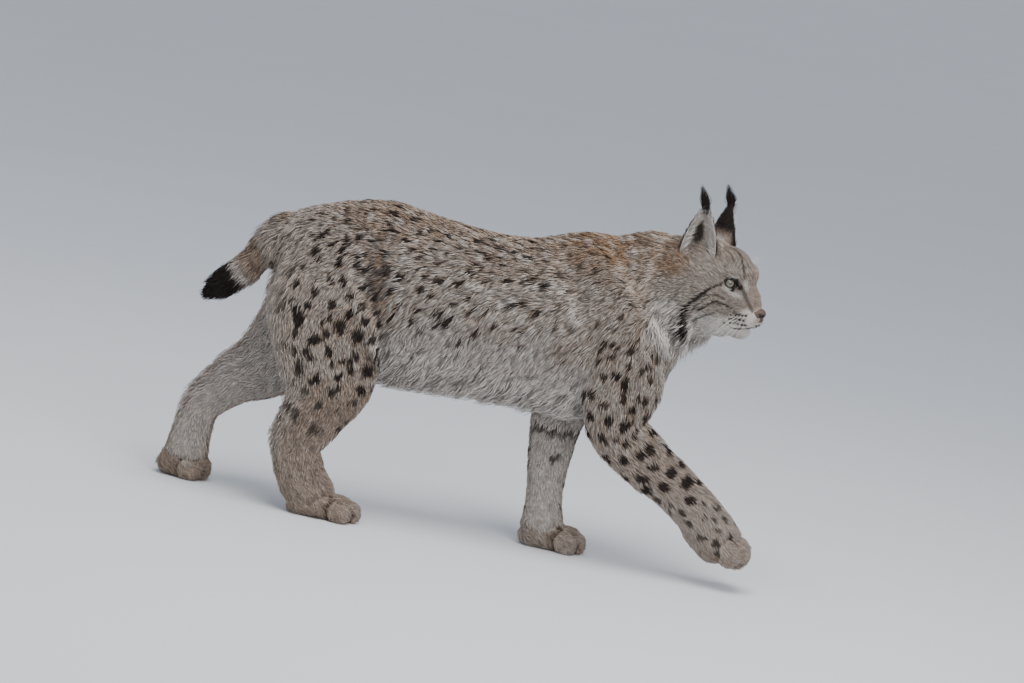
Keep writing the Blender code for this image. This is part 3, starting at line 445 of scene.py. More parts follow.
def ellipsoid(middle, half, segments=32, rings=20):
    shape = bmesh.new()
    bmesh.ops.create_uvsphere(shape, u_segments=segments, v_segments=rings, radius=1.0)
    bmesh.ops.scale(shape, vec=half, verts=shape.verts)
    bmesh.ops.translate(shape, vec=middle, verts=shape.verts)
    return mesh_from_bmesh("ball", shape)


def torso_stations():
    return [(x, 0.0, (top + low) / 2, (top - low) / 2, half) for x, top, low, half in TORSO]


def paw_frame(heel, toe):
    """Heel, heading, the direction across, the direction up, and length of a paw."""
    heel, toe = Vector(heel), Vector(toe)
    heading = (toe - heel).normalized()
    across = Vector((0, 0, 1)).cross(heading).normalized()
    return heel, heading, across, heading.cross(across).normalized(), (toe - heel).length


def paw_meshes(heel, toe, raise_heel, height):
    """A pad with its toes, which runs from heel to toe along the ground line of the paw."""
    heel, heading, across, lift, length = paw_frame(heel, toe)
    stations = []
    for along, up, half_height, half_width in PAD:
        middle = heel + heading * length * along + lift * (height * up + raise_heel
                                                           * (along == PAD[0][0]))
        stations.append((*middle, height * half_height, PAW_HALF_WIDTH * half_width))
    shapes = [loft(stations)]
    for i in range(TOES):
        side = (i - (TOES - 1) / 2) / ((TOES - 1) / 2)
        reach = length - TOE_RADIUS - abs(side) * OUTER_TOE_BACK
        out = across * side * PAW_HALF_WIDTH
        root = heel + heading * (reach - TOE_LENGTH) + out * TOE_ROOTS_APART + lift * height * 0.5
        tip = heel + heading * reach + out * TOE_TIPS_APART + lift * TOE_RADIUS
        half_width = TOE_RADIUS * TOE_NARROWING
        stations = [(*root, TOE_RADIUS, half_width),
                    (*tip, TOE_RADIUS * TOE_SWELL, half_width * TOE_SWELL)]
        shapes.append(loft(stations, sides=20))
    return shapes


def toe_gaps():
    """Lines between the toes, from the top of each paw over its front to the sole, and lines down the creases
    behind the outer toes."""
    between, behind = [], []
    for heel, toe, _, height in PAWS.values():
        heel, heading, across, lift, length = paw_frame(heel, toe)
        tips = length - TOE_RADIUS
        for i in range(TOES - 1):
            side = (i - (TOES - 2) / 2) / ((TOES - 1) / 2)
            start = heel + heading * (tips - abs(side) * OUTER_TOE_BACK)
            steps = ((-0.036, TOE_ROOTS_APART, height * 0.5 + TOE_RADIUS * 0.85),
                     (-0.004, 0.70, TOE_RADIUS * 1.75), (TOE_RADIUS * 0.65, TOE_TIPS_APART, TOE_RADIUS),
                     (TOE_RADIUS * 0.4, TOE_TIPS_APART, 0.0))
            out = across * side * PAW_HALF_WIDTH
            between.append([tuple(start + heading * ahead + out * apart + lift * up)
                            for ahead, apart, up in steps])
        for side in (-1, 1):
            start = heel + heading * (tips - OUTER_TOE_BACK - TOE_LENGTH)
            steps = ((0.010, 0.62, 0.80), (-0.004, 0.92, 0.52), (0.000, 0.90, 0.20), (0.004, 0.80, 0.0))
            out = across * side * PAW_HALF_WIDTH
            behind.append([tuple(start + heading * ahead + out * apart + lift * height * up)
                           for ahead, apart, up in steps])
    return between, behind


TOE_GAPS, TOE_CREASES = toe_gaps()


def flesh_meshes():
    """The animal's masses, which overlap."""
    shapes = [loft(torso_stations(), sides=40, upright=True)]
    shapes += [loft(rows) for rows in (NECK, BREAST, TAIL, FORE_RIGHT, FORE_LEFT, HIND_RIGHT, HIND_LEFT)]
    for paw in PAWS.values():
        shapes += paw_meshes(*paw)
    head = []
    for middle, half in HEAD_MASSES:
        for side in (1, -1) if middle[1] else (1,):
            head.append(ellipsoid(mirrored(middle, side), Vector(half)))
    head.append(loft(MUZZLE))
    lid = EYE_RADIUS + LID_THICKNESS
    head += [ellipsoid(mirrored(EYE_AT, side), Vector((lid, lid, lid))) for side in (1, -1)]
    for shape in head:
        shape.transform(head_matrix())
    return shapes + head


def joined(name, meshes):
    shape = bmesh.new()
    for mesh in meshes:
        shape.from_mesh(mesh)
        bpy.data.meshes.remove(mesh)
    bmesh.ops.recalc_face_normals(shape, faces=shape.faces)
    return add_object(name, mesh_from_bmesh(name, shape))


def applied(thing):
    """Puts the object's evaluated shape in place of its mesh and modifiers."""
    bpy.context.view_layer.update()
    graph = bpy.context.evaluated_depsgraph_get()
    mesh = bpy.data.meshes.new_from_object(thing.evaluated_get(graph))
    thing.modifiers.clear()
    thing.data = mesh
    return thing


def modified(thing, kind, **settings):
    step = thing.modifiers.new(kind.title(), kind)
    for name, value in settings.items():
        setattr(step, name, value)
    return thing


def read(items, name, width, kind=np.float32):
    """One number or vector of every item of a mesh's list, as rows."""
    out = np.empty(len(items) * width, kind)
    items.foreach_get(name, out)
    return out.reshape(-1, width)


def write(items, name, values, kind=np.float32):
    items.foreach_set(name, np.asarray(values).astype(kind).ravel())


def points_of(mesh):
    return read(mesh.vertices, "co", 3).astype(float)


def normals_of(mesh):
    return read(mesh.vertex_normals, "vector", 3).astype(float)


def edges_of(mesh):
    return read(mesh.edges, "vertices", 2, np.int32)


def finished(thing, material):
    """The object, smooth and in one material."""
    thing.data.shade_smooth()
    thing.data.materials.clear()
    thing.data.materials.append(material)
    return thing


def set_points(mesh, points):
    write(mesh.vertices, "co", points)
    mesh.update()


def unit(v):
    return v / np.maximum(np.linalg.norm(v, axis=-1, keepdims=True), 1e-9)


def off_normal(ways, normals, share):
    """The ways less this share of what they have along the normals."""
    return ways - normals * (ways * normals).sum(axis=1)[:, None] * share


def highest(*shares):
    """At each point the highest of the shares."""
    return reduce(np.maximum, shares)


def smoothstep(low, high, x):
    t = np.clip((x - low) / (high - low), 0, 1)
    return t * t * (3 - 2 * t)


# The coat's plan: for each chain of stations, its depth, length, half width and density

HEAD_CHAIN = ((-0.070, 0.0, 0.000, 0.080, 0.080), (-0.010, 0.0, 0.000, 0.092, 0.090),
              (0.050, 0.0, -0.015, 0.062, 0.055), (0.110, 0.0, -0.040, 0.036, 0.030))
# name: stations, then (start, end) of depth, length and half width, then tufts per square metre
COAT = {
    "torso": (torso_stations(), (0.009, 0.009), (0.029, 0.033), (0.0013, 0.0013), 88e3),
    "neck": (NECK, (0.009, 0.008), (0.034, 0.032), (0.0012, 0.0011), 115e3),
    "breast": (BREAST, (0.009, 0.009), (0.036, 0.040), (0.0012, 0.0012), 110e3),
    "tail": (TAIL, (0.008, 0.007), (0.034, 0.032), (0.0012, 0.0012), 170e3),
    "fore_right": (FORE_RIGHT, (0.008, 0.002), (0.028, 0.015), (0.0013, 0.0010), 90e3),
    "fore_left": (FORE_LEFT, (0.008, 0.002), (0.028, 0.014), (0.0013, 0.0010), 90e3),
    "hind_right": (HIND_RIGHT, (0.008, 0.002), (0.024, 0.016), (0.0013, 0.0010), 90e3),
    "hind_left": (HIND_LEFT, (0.008, 0.002), (0.024, 0.016), (0.0013, 0.0010), 90e3),
}
for paw in PAWS:
    COAT["paw_" + paw] = (None, (0.001, 0.0005), (0.016, 0.010), (0.0009, 0.0007), 135e3)
COAT["head"] = (None, (0.005, 0.0015), (0.020, 0.005), (0.0010, 0.0005), 340e3)
CHAINS = list(COAT)
# How steeply the tufts leave the skin, as a slope.
LIFT = 0.34


def chain_rows(name):
    """The middle line of a chain with its radii, as rows of x, y, z, radius."""
    if name.startswith("paw_"):
        heel, toe, _, height = PAWS[name[4:]]
        heel, toe = Vector(heel), Vector(toe)
        lift = Vector((0, 0, height * 0.45))
        rows = [(*(heel.lerp(toe, t) + lift), height * 0.5, PAW_HALF_WIDTH) for t in (0.1, 0.5, 0.9)]
    elif name == "head":
        rows = [(*(head_matrix() @ Vector(r[:3])), r[3], r[4]) for r in HEAD_CHAIN]
    else:
        rows = COAT[name][0]
    rows = spline_rows(rows, 6)
    return np.column_stack([rows[:, :3], (rows[:, 3] + rows[:, 4]) / 2])


# Groups of chains whose colours run into each other softly.
REGIONS = {
    "trunk": ("torso", "breast"),
    "neck": ("neck",),
    "limb": ("fore_left", "fore_right", "hind_left", "hind_right"),
    "paw": ("paw_fore_left", "paw_fore_right", "paw_hind_left", "paw_hind_right"),
    "tail": ("tail",),
    "head": ("head",),
}
HEAD_START, HEAD_LOWEST, HEAD_REACH = -0.058, -0.125, 0.170


def gaps_between(points, rows):
    """The squared distance from each point to each row."""
    return (points ** 2).sum(axis=1)[:, None] + (rows ** 2).sum(axis=1)[None] - 2 * points @ rows.T


def chain_fields(points):
    """For each point: its chain, how far along it, and the direction of the chain there."""
    best = np.full(len(points), np.inf)
    chain = np.zeros(len(points), int)
    part = np.zeros(len(points))
    way = np.zeros((len(points), 3))
    for i, name in enumerate(CHAINS):
        rows = chain_rows(name)
        ahead = unit(np.gradient(rows[:, :3], axis=0))
        gap = gaps_between(points, rows[:, :3]) / rows[None, :, 3] ** 2
        near = gap.argmin(axis=1)
        ratio = gap[np.arange(len(points)), near]
        closer = ratio < best
        best[closer] = ratio[closer]
        chain[closer] = i
        part[closer] = near[closer] / (len(rows) - 1)
        way[closer] = ahead[near[closer]]
        if name == "head":
            places = in_head(points)
            inside = (places[:, 0] > HEAD_START) & (places[:, 2] > HEAD_LOWEST)
            inside &= np.linalg.norm(places, axis=1) < HEAD_REACH
            chain[inside] = i
            part[inside] = near[inside] / (len(rows) - 1)
    return chain, part, way


def in_head(points):
    """The points in the head frame."""
    matrix = np.array(head_matrix().inverted())
    return points @ matrix[:3, :3].T + matrix[:3, 3]


def flowing(lie, *pull):
    """A lie with another way added, such as gravity's."""
    return lie + np.array(pull)


def head_ways(places):
    """The lie of the hair of the head, in the head frame, then turned to the world."""
    nose = np.array((0.135, 0.0, -0.030))
    ways = unit(places - nose)
    ruff = smoothstep(0.05, -0.05, places[:, 0]) * smoothstep(0.03, -0.05, places[:, 2])
    down = np.array((-0.35, 0.0, -0.95))
    ways = unit(ways * (1 - ruff)[:, None] + down * ruff[:, None])
    turn = np.array(head_matrix())[:3, :3]
    return ways @ turn.T


def lie_of_hair(points, names, way):
    """The way the hair lies at each point, before it is evened out."""
    x, y, z = points.T
    low = smoothstep(0.64, 0.40, z)
    trunk = np.stack([-1 + 0.52 * low, 0.06 * np.sign(y) * low, -0.10 - 0.80 * low], axis=1)
    rump = smoothstep(-0.34, -0.42, x)[:, None]
    trunk = trunk * (1 - rump) + np.array((-0.35, 0, -0.95)) * rump
    flatter = trunk * np.array((0.8, 1, 1))
    upper = smoothstep(0.32, 0.50, z)[:, None]
    head = head_ways(in_head(points))
    lies = {"torso": trunk, "neck": flowing(flatter, 0, 0, -0.35), "tail": way, "head": head}
    lies["breast"] = lies["neck"]
    for name in PAWS:
        lies[name] = way * (1 - upper) + upper * flowing(flatter, 0, 0, -0.25)
        lies["paw_" + name] = flowing(way, 0, 0, -0.45)
    lie = way.copy()
    for name in CHAINS:
        lie[names == name] = lies[name][names == name]
    return unit(lie)


def coat_plan(points, normals, edges):
    """Per point of the skin: the lie of the hair, and its depth, length, half width, density and lift."""
    chain, part, way = chain_fields(points)
    names = np.array(CHAINS)[chain]
    plan = np.zeros((len(points), 5))
    for i, name in enumerate(CHAINS):
        of = chain == i
        _, depth, length, width, density = COAT[name]
        for column, (a, b) in enumerate((depth, length, width)):
            plan[of, column] = a + (b - a) * part[of]
        plan[of, 3] = density
    plan[:, 4] = LIFT
    x, _, z = points.T
    torso, head, tail = (names == name for name in ("torso", "head", "tail"))
    places = in_head(points)
    belly = smoothstep(0.39, 0.32, z) * torso
    back = smoothstep(0.60, 0.64, z) * torso
    ruff = smoothstep(0.045, -0.020, places[:, 0]) * smoothstep(-0.010, -0.070, places[:, 2]) * head
    throat = smoothstep(0.30, 0.35, x) * smoothstep(0.56, 0.48, z) * np.isin(names, ("neck", "breast"))
    rear = smoothstep(-0.28, -0.36, x) * smoothstep(0.2, 0.8, -normals[:, 0]) * smoothstep(0.10, 0.20, z)
    rear = rear * np.isin(names, ("hind_right", "hind_left", "torso"))
    plan[:, 1] += 0.030 * belly - 0.004 * back + 0.034 * ruff + 0.010 * throat + 0.012 * rear
    plan[:, 2] += 0.0003 * ruff
    plan[:, 3] -= 190e3 * smoothstep(0.04, -0.02, places[:, 0]) * head
    plan[:, 4] += 0.35 * rear + 0.40 * belly + 0.14 * ruff + 0.10 * tail
    regions = np.stack([np.isin(names, of) for of in REGIONS.values()], axis=1).astype(float)
    lie = lie_of_hair(points, names, way)
    # Where the neck meets the trunk the lie turns over a wide band, so that no parting shows.
    meeting = smoothstep(0.24, 0.30, x) * smoothstep(0.50, 0.42, x) * smoothstep(0.30, 0.36, z)
    wide = spread(lie, edges, 90)
    lie = lie * (1 - meeting)[:, None] + unit(wide) * meeting[:, None]
    fields = spread(np.column_stack([lie, plan, regions]), edges, 14)
    lie = unit(off_normal(fields[:, :3], normals, 1.0))
    return lie, fields[:, 3:8], fields[:, 8:]


def spread(fields, edges, rounds):
    """Averages the fields over neighbours, so that they change softly over the skin."""
    count = np.bincount(edges.ravel(), minlength=len(fields)).astype(float)
    count = np.maximum(count, 1)
    for _ in range(rounds):
        new = np.empty_like(fields)
        for c in range(fields.shape[1]):
            total = np.bincount(edges[:, 0], weights=fields[edges[:, 1], c], minlength=len(fields))
            total += np.bincount(edges[:, 1], weights=fields[edges[:, 0], c], minlength=len(fields))
            new[:, c] = total / count
        fields = 0.4 * fields + 0.6 * new
    return fields


# Markings

def eye_axis(side):
    return Vector((math.cos(EYE_TURN), math.sin(EYE_TURN) * side, 0.02)).normalized()


def lid_frame(side):
    """The eye's middle, its axis and the long and high directions of the gap between the lids."""
    axis = eye_axis(side)
    outward = (Vector((0, 0, 1)).cross(axis) * side).normalized()
    up = axis.cross(outward) * side
    long_way = (outward * math.cos(LID_SLANT) + up * math.sin(LID_SLANT)).normalized()
    high_way = (up * math.cos(LID_SLANT) - outward * math.sin(LID_SLANT)).normalized()
    return mirrored(EYE_AT, side), axis, long_way, high_way


def lid_outline(steps=24):
    outline = []
    for i in range(2 * steps):
        turn = math.pi * i / steps
        u = math.cos(turn)
        outline.append((u * LID_HALF_LENGTH, math.sin(turn) * LID_HALF_HEIGHT * (1 - 0.25 * u * u)))
    return outline


def lid_line():
    """The line on the left lids along which their gap opens, in the head frame."""
    eye, axis, long_way, high_way = lid_frame(1)
    radius = EYE_RADIUS + LID_THICKNESS
    points = [eye + long_way * u + high_way * v + axis * math.sqrt(max(radius ** 2 - u * u - v * v, 1e-5))
              for u, v in lid_outline(8)]
    return [tuple(p) for p in points + points[:1]]


LID_LINE = lid_line()

# Lines of the face in the head frame, as on the animal's right side with y turned positive, each with its half
# width at the start and at the end, and how dark it is.
FACE_LINES = (
    (((0.05, 0.046, 0.018), (0.0318, 0.0657, 0.0086), (0.0229, 0.0749, -0.0016),
      (0.0135, 0.0809, -0.0156), (-0.0004, 0.0855, -0.0288), (-0.0119, 0.0871, -0.0417)),
     0.002, 0.0038, 1),
    (((-0.0119, 0.0871, -0.0417), (-0.0184, 0.0794, -0.0625), (-0.0216, 0.072, -0.0809),
      (-0.0243, 0.0639, -0.1027)), 0.0045, 0.0085, 1),
    (((0.0754, 0.0358, -0.0296), (0.0637, 0.0556, -0.0227), (0.0469, 0.0614, -0.0193),
      (0.0343, 0.0638, -0.0254), (0.0238, 0.0688, -0.0362), (0.0121, 0.0726, -0.0439)),
     0.0013, 0.0026, 0.9),
    (((0.062, 0.0564, -0.0127), (0.0476, 0.0599, -0.0078), (0.0333, 0.0655, -0.0083),
      (0.02, 0.072, -0.019)), 0.0012, 0.0022, 0.75),
    (((0.0524, 0.0569, -0.0372), (0.0379, 0.0608, -0.049), (0.0179, 0.065, -0.0586),
      (0.0072, 0.064, -0.0714)), 0.0012, 0.0026, 0.7),
    (((0.0248, 0.0727, -0.0151), (0.0118, 0.0779, -0.0316), (-0.0028, 0.0781, -0.0504),
      (-0.0094, 0.0737, -0.0642)), 0.0014, 0.0034, 0.65),
    (((-0.0147, 0.0941, 0.0045), (-0.027, 0.0993, -0.0152), (-0.034, 0.1001, -0.034)), 0.001, 0.003,
     0.45),
    (((-0.0242, 0.0929, -0.0425), (-0.0304, 0.0852, -0.0649), (-0.0331, 0.0754, -0.0903)),
     0.002, 0.004, 0.45),
    (((0.04, 0.01, 0.09), (0.0584, 0.0126, 0.0781), (0.0735, 0.02, 0.0593), (0.0808, 0.0215, 0.0403)),
     0.0016, 0.0026, 0.75),
    (((0.06, 0.003, 0.082), (0.0737, 0.0026, 0.0723), (0.0866, 0.004, 0.058)), 0.0012, 0.0018, 0.55),
    (((0.02, 0.026, 0.09), (0.0416, 0.025, 0.083), (0.06, 0.033, 0.066)), 0.0014, 0.002, 0.5),
    (((0.0786, 0.0294, 0.02), (0.0913, 0.0287, 0.0082), (0.1023, 0.0253, -0.0102),
      (0.1153, 0.0199, -0.028)), 0.0046, 0.003, 0.6),
)
# Where the dark dots stand along each row of whiskers.
WHISKER_PLACES = (0.05, 0.26, 0.47, 0.68, 0.89)
WHISKER_SPOT = 0.0021
SPOT_RISE = 0.0008
WHISKER_ROWS = (
    ((0.0742, 0.032, -0.0439), (0.0886, 0.032, -0.0406), (0.1008, 0.0341, -0.0395),
     (0.1111, 0.031, -0.0389)),
    ((0.0726, 0.036, -0.0516), (0.0826, 0.033, -0.0507), (0.0969, 0.0352, -0.0489),
     (0.1086, 0.033, -0.0484)),
    ((0.0764, 0.033, -0.0607), (0.0872, 0.031, -0.0595), (0.102, 0.0324, -0.0576),
     (0.1124, 0.03, -0.056)),
)


def to_line(points, line, normals=None):
    """The distance from each point to a line of straight spans, less most of what is along the normal there, and
    how far along the line the nearest place is."""
    line = np.array(line, float)
    best = np.full(len(points), np.inf)
    along = np.zeros(len(points))
    for i in range(len(line) - 1):
        span = line[i + 1] - line[i]
        t = np.clip(((points - line[i]) @ span) / (span @ span), 0, 1)
        off = points - line[i] - t[:, None] * span
        if normals is not None:
            off = off_normal(off, normals, 0.85)
        gap = np.linalg.norm(off, axis=1)
        closer = gap < best
        best[closer] = gap[closer]
        along[closer] = ((i + t) / (len(line) - 1))[closer]
    return best, along


def line_gap(points, normals, lines):
    """The distance from each point to the nearest of the lines."""
    return np.min([to_line(points, line, normals)[0] for line in lines], axis=0)


def near_ball(points, middle, radius, soft=0.5):
    """1 within the soft share of the radius, falling to 0 at the radius."""
    gap = np.linalg.norm(points - np.array(middle), axis=1)
    return smoothstep(radius, radius * soft, gap)


def spot_plan(points, names):
    """Spacing, half length, half width and strength of the spots at each point of the skin."""
    x, _, z = points.T
    plan = np.zeros((len(points), 4))

    def put(of, *values):
        plan[of] = values

    torso = np.isin(names, ("torso", "breast"))
    put(torso, 0.0250, 0.0078, 0.0050, 1.0)
    put(torso & (z > 0.55), 0.0205, 0.0072, 0.0040, 1.0)
    put(torso & (x > 0.10) & (z > 0.40), 0.0265, 0.0062, 0.0040, 0.75)
    put(torso & (z < 0.40), 0.0330, 0.0085, 0.0055, 0.55)
    put(names == "neck", 0.0300, 0.0050, 0.0034, 0.40)
    for side in ("left", "right"):
        fore, hind = names == "fore_" + side, names == "hind_" + side
        put(fore, 0.0285, 0.0108, 0.0090, 1.0)
        put(fore & (z > 0.36), 0.0240, 0.0080, 0.0062, 1.0)
        put(fore & (z > 0.46), 0.0265, 0.0064, 0.0046, 0.80)
        put(fore & (z < 0.17), 0.0235, 0.0068, 0.0058, 0.85)
        put(hind, 0.0275, 0.0108, 0.0088, 1.0)
        put(hind & (z > 0.43), 0.0215, 0.0078, 0.0056, 1.0)
        put(hind & (z < 0.26), 0.0270, 0.0080, 0.0064, 0.85)
        put(hind & (z < 0.17), 0.0260, 0.0050, 0.0042, 0.40)
        put(names == "paw_fore_" + side, 0.0240, 0.0036, 0.0030, 0.35)
        put(names == "paw_hind_" + side, 0.0260, 0.0034, 0.0030, 0.20)
    put(names == "tail", 0.026, 0.0060, 0.0044, 0.30)
    return plan


def thrown(points, spacing, order):
    """Picks points in the order given, each only where no other is nearer than its spacing."""
    cell = float(spacing.max())
    grid, kept = {}, []
    around = [(i, j, k) for i in (-1, 0, 1) for j in (-1, 0, 1) for k in (-1, 0, 1)]
    for i in order.tolist():
        p = points[i]
        key = tuple(np.floor(p / cell).astype(int).tolist())
        limit = spacing[i] ** 2
        near = [j for step in around for j in grid.get(tuple(map(sum, zip(key, step))), ())]
        if all(sum((points[j] - p) ** 2) >= limit for j in near):
            grid.setdefault(key, []).append(i)
            kept.append(i)
    return np.array(kept)


def scatter_spots(points, names, lie, normals, draw):
    """Spots thrown over the skin, each of one to three streaks side by side."""
    plan = spot_plan(points, names)
    order = draw.permutation(np.nonzero(plan[:, 0] > 0)[0])[:16000]
    kept = thrown(points, plan[:, 0], order)
    places, ways, sizes, strengths = [], [], [], []
    for i in kept.tolist():
        side = np.cross(normals[i], lie[i])
        round_spot = plan[i, 2] / plan[i, 1] > 0.72
        pieces = draw.integers(1, 3) if round_spot else draw.integers(1, 4)
        turn = draw.normal(0, 0.35)
        strength = plan[i, 3] * draw.uniform(0.92, 1.0)
        grow = draw.uniform(0.72, 1.22)
        for _ in range(pieces):
            shrink = 1.0 if pieces == 1 else draw.uniform(0.55, 0.85)
            off = draw.normal(0, 0.5, 2) * (pieces > 1)
            places.append(points[i] + lie[i] * off[0] * plan[i, 1] + side * off[1] * plan[i, 2] * 1.5)
            angle = turn + draw.normal(0, 0.5) * (pieces > 1)
            ways.append(lie[i] * math.cos(angle) + side * math.sin(angle))
            sizes.append(plan[i, 1:3] * grow * shrink * draw.uniform(0.85, 1.15, 2))
            strengths.append(strength)
    return np.array(places), unit(np.array(ways)), np.array(sizes), np.array(strengths)


def spot_mask(points, normals, spots, rough):
    """How dark each point is from the spots near it, with a rough edge, and the tan that lies round them."""
    places, along, size, strength = spots
    dark, tan = np.zeros(len(points)), np.zeros(len(points))
    step = 16000
    for start in range(0, len(points), step):
        part, out = points[start : start + step], normals[start : start + step]
        gaps = gaps_between(part, places)
        for near in np.argpartition(gaps, 3, axis=1)[:, :3].T:
            off = part - places[near]
            off = off_normal(off, out, 0.9)
            long_way = (off * along[near]).sum(axis=1)
            wide = np.sqrt(np.maximum((off ** 2).sum(axis=1) - long_way ** 2, 0))
            reach = np.sqrt((long_way / size[near, 0]) ** 2 + (wide / size[near, 1]) ** 2)
            reach = reach + rough[start : start + step] * 0.12
            mask = smoothstep(1.32, 1.00, reach) * strength[near]
            dark[start : start + step] = np.maximum(dark[start : start + step], mask)
            mask = smoothstep(2.3, 1.2, reach) * strength[near]
            tan[start : start + step] = np.maximum(tan[start : start + step], mask)
    return dark, tan


def waves(points, scale, seed):
    """A soft noise between about -1 and 1: plane waves of about one length in many directions."""
    chance = np.random.default_rng(seed)
    total = np.zeros(len(points))
    for _ in range(10):
        way = unit(chance.normal(0, 1, 3)) * math.tau / (scale * chance.uniform(0.7, 1.5))
        total += np.sin(points @ way + chance.uniform(0, math.tau))
    return total / 3.0


def face_marks(points, normals):
    """Dark, pale and warm shares on the head, in the head frame."""
    sign = np.where(points[:, 1:2] < 0, -1.0, 1.0)
    fold = np.concatenate([np.ones_like(sign), sign, np.ones_like(sign)], axis=1)
    p, n = points * fold, normals * fold
    x, y, z = p.T
    dark, pale, warm = (np.zeros(len(p)) for _ in range(3))
    for line, start, end, strength in FACE_LINES:
        gap, t = to_line(p, line, n)
        half = start + (end - start) * t
        dark = np.maximum(dark, smoothstep(half * 1.7, half * 0.6, gap) * strength)
    rows = np.zeros(len(p))
    dots = np.zeros(len(p))
    for line in WHISKER_ROWS:
        gap, t = to_line(p, line, n)
        rows = np.maximum(rows, smoothstep(0.0046, 0.0020, gap))
        span = math.dist(line[0], line[-1])
        for place in WHISKER_PLACES:
            reach = np.hypot(gap, (t - place) * span)
            dots = np.maximum(dots, smoothstep(0.0040, 0.0020, reach))
    # Under the chin the left side, which is hardly seen, keeps little of the ruff's black streak.
    dark = dark * (1 - 0.85 * smoothstep(-0.066, -0.082, z) * (points[:, 1] > 0))
    gap, _ = to_line(p, MOUTH)
    dark = np.maximum(dark, smoothstep(0.0056, 0.0022, gap) * 0.9)
    # The white of the muzzle, chin, throat and ruff, round the eye and at its inner corner.
    white = smoothstep(-0.040, -0.060, z) * smoothstep(-0.02, 0.02, x)
    white = highest(white, smoothstep(-0.055, -0.085, z),
                    near_ball(p, (0.105, 0.020, -0.046), 0.026, 0.6) * 0.9, rows)
    gap, _ = to_line(p, ((0.0560, 0.0480, 0.0080), (0.0700, 0.0440, 0.0020), (0.0850, 0.0350, -0.0020)))
    white = np.maximum(white, smoothstep(0.0080, 0.0026, gap) * 0.9)
    gap, _ = to_line(p, ((0.0851, 0.0195, 0.0330), (0.0935, 0.0235, 0.0152)))
    white = np.maximum(white, smoothstep(0.0085, 0.0028, gap) * 0.85)
    gap, _ = to_line(p, ((0.0620, 0.0500, 0.0360), (0.0760, 0.0380, 0.0370)))
    white = highest(white, smoothstep(0.0080, 0.0020, gap) * 0.7,
                    smoothstep(0.010, -0.030, x) * smoothstep(-0.005, -0.060, z) * 0.75)
    pale = np.maximum(pale, white)
    rim, _ = to_line(p, LID_LINE)
    dark = highest(dark, smoothstep(0.0042, 0.0022, rim),
                   near_ball(p, (0.0815, 0.0300, 0.0160), 0.0085, 0.5), dots * 0.95)
    bridge = smoothstep(0.026, 0.010, y) * smoothstep(0.080, 0.105, x) * smoothstep(-0.040, -0.015, z)
    warm = np.maximum(warm, bridge * 0.26)
    streak = smoothstep(0.1, 1.1, waves(p * np.array((0.4, 1, 0.6)), 0.006, 7))
    dark = np.maximum(dark, streak * bridge * 0.28)
    warm = highest(warm, near_ball(p, (-0.060, 0.088, 0.045), 0.055, 0.5) * 0.9,
                   smoothstep(0.05, 0.09, z) * 0.20)
    grey = smoothstep(-0.2, 1.0, waves(p * np.array((0.5, 1, 1)), 0.011, 6)) * smoothstep(0.115, 0.085, x)
    dark = np.maximum(dark, grey * (1 - pale) * 0.26)
    tick = waves(p * np.array((0.5, 1, 1)), 0.0060, 11) * smoothstep(0.115, 0.085, x)
    dark = np.maximum(dark, smoothstep(0.3, 1.2, tick) * (1 - 0.8 * pale) * 0.34)
    pale = np.maximum(pale, smoothstep(0.2, 1.1, -tick) * (1 - dark) * 0.34)
    dark = np.maximum(dark, smoothstep(-0.075, -0.050, z) * smoothstep(0.10, 0.07, x) * (1 - pale) * 0.10)
    return dark, pale, warm


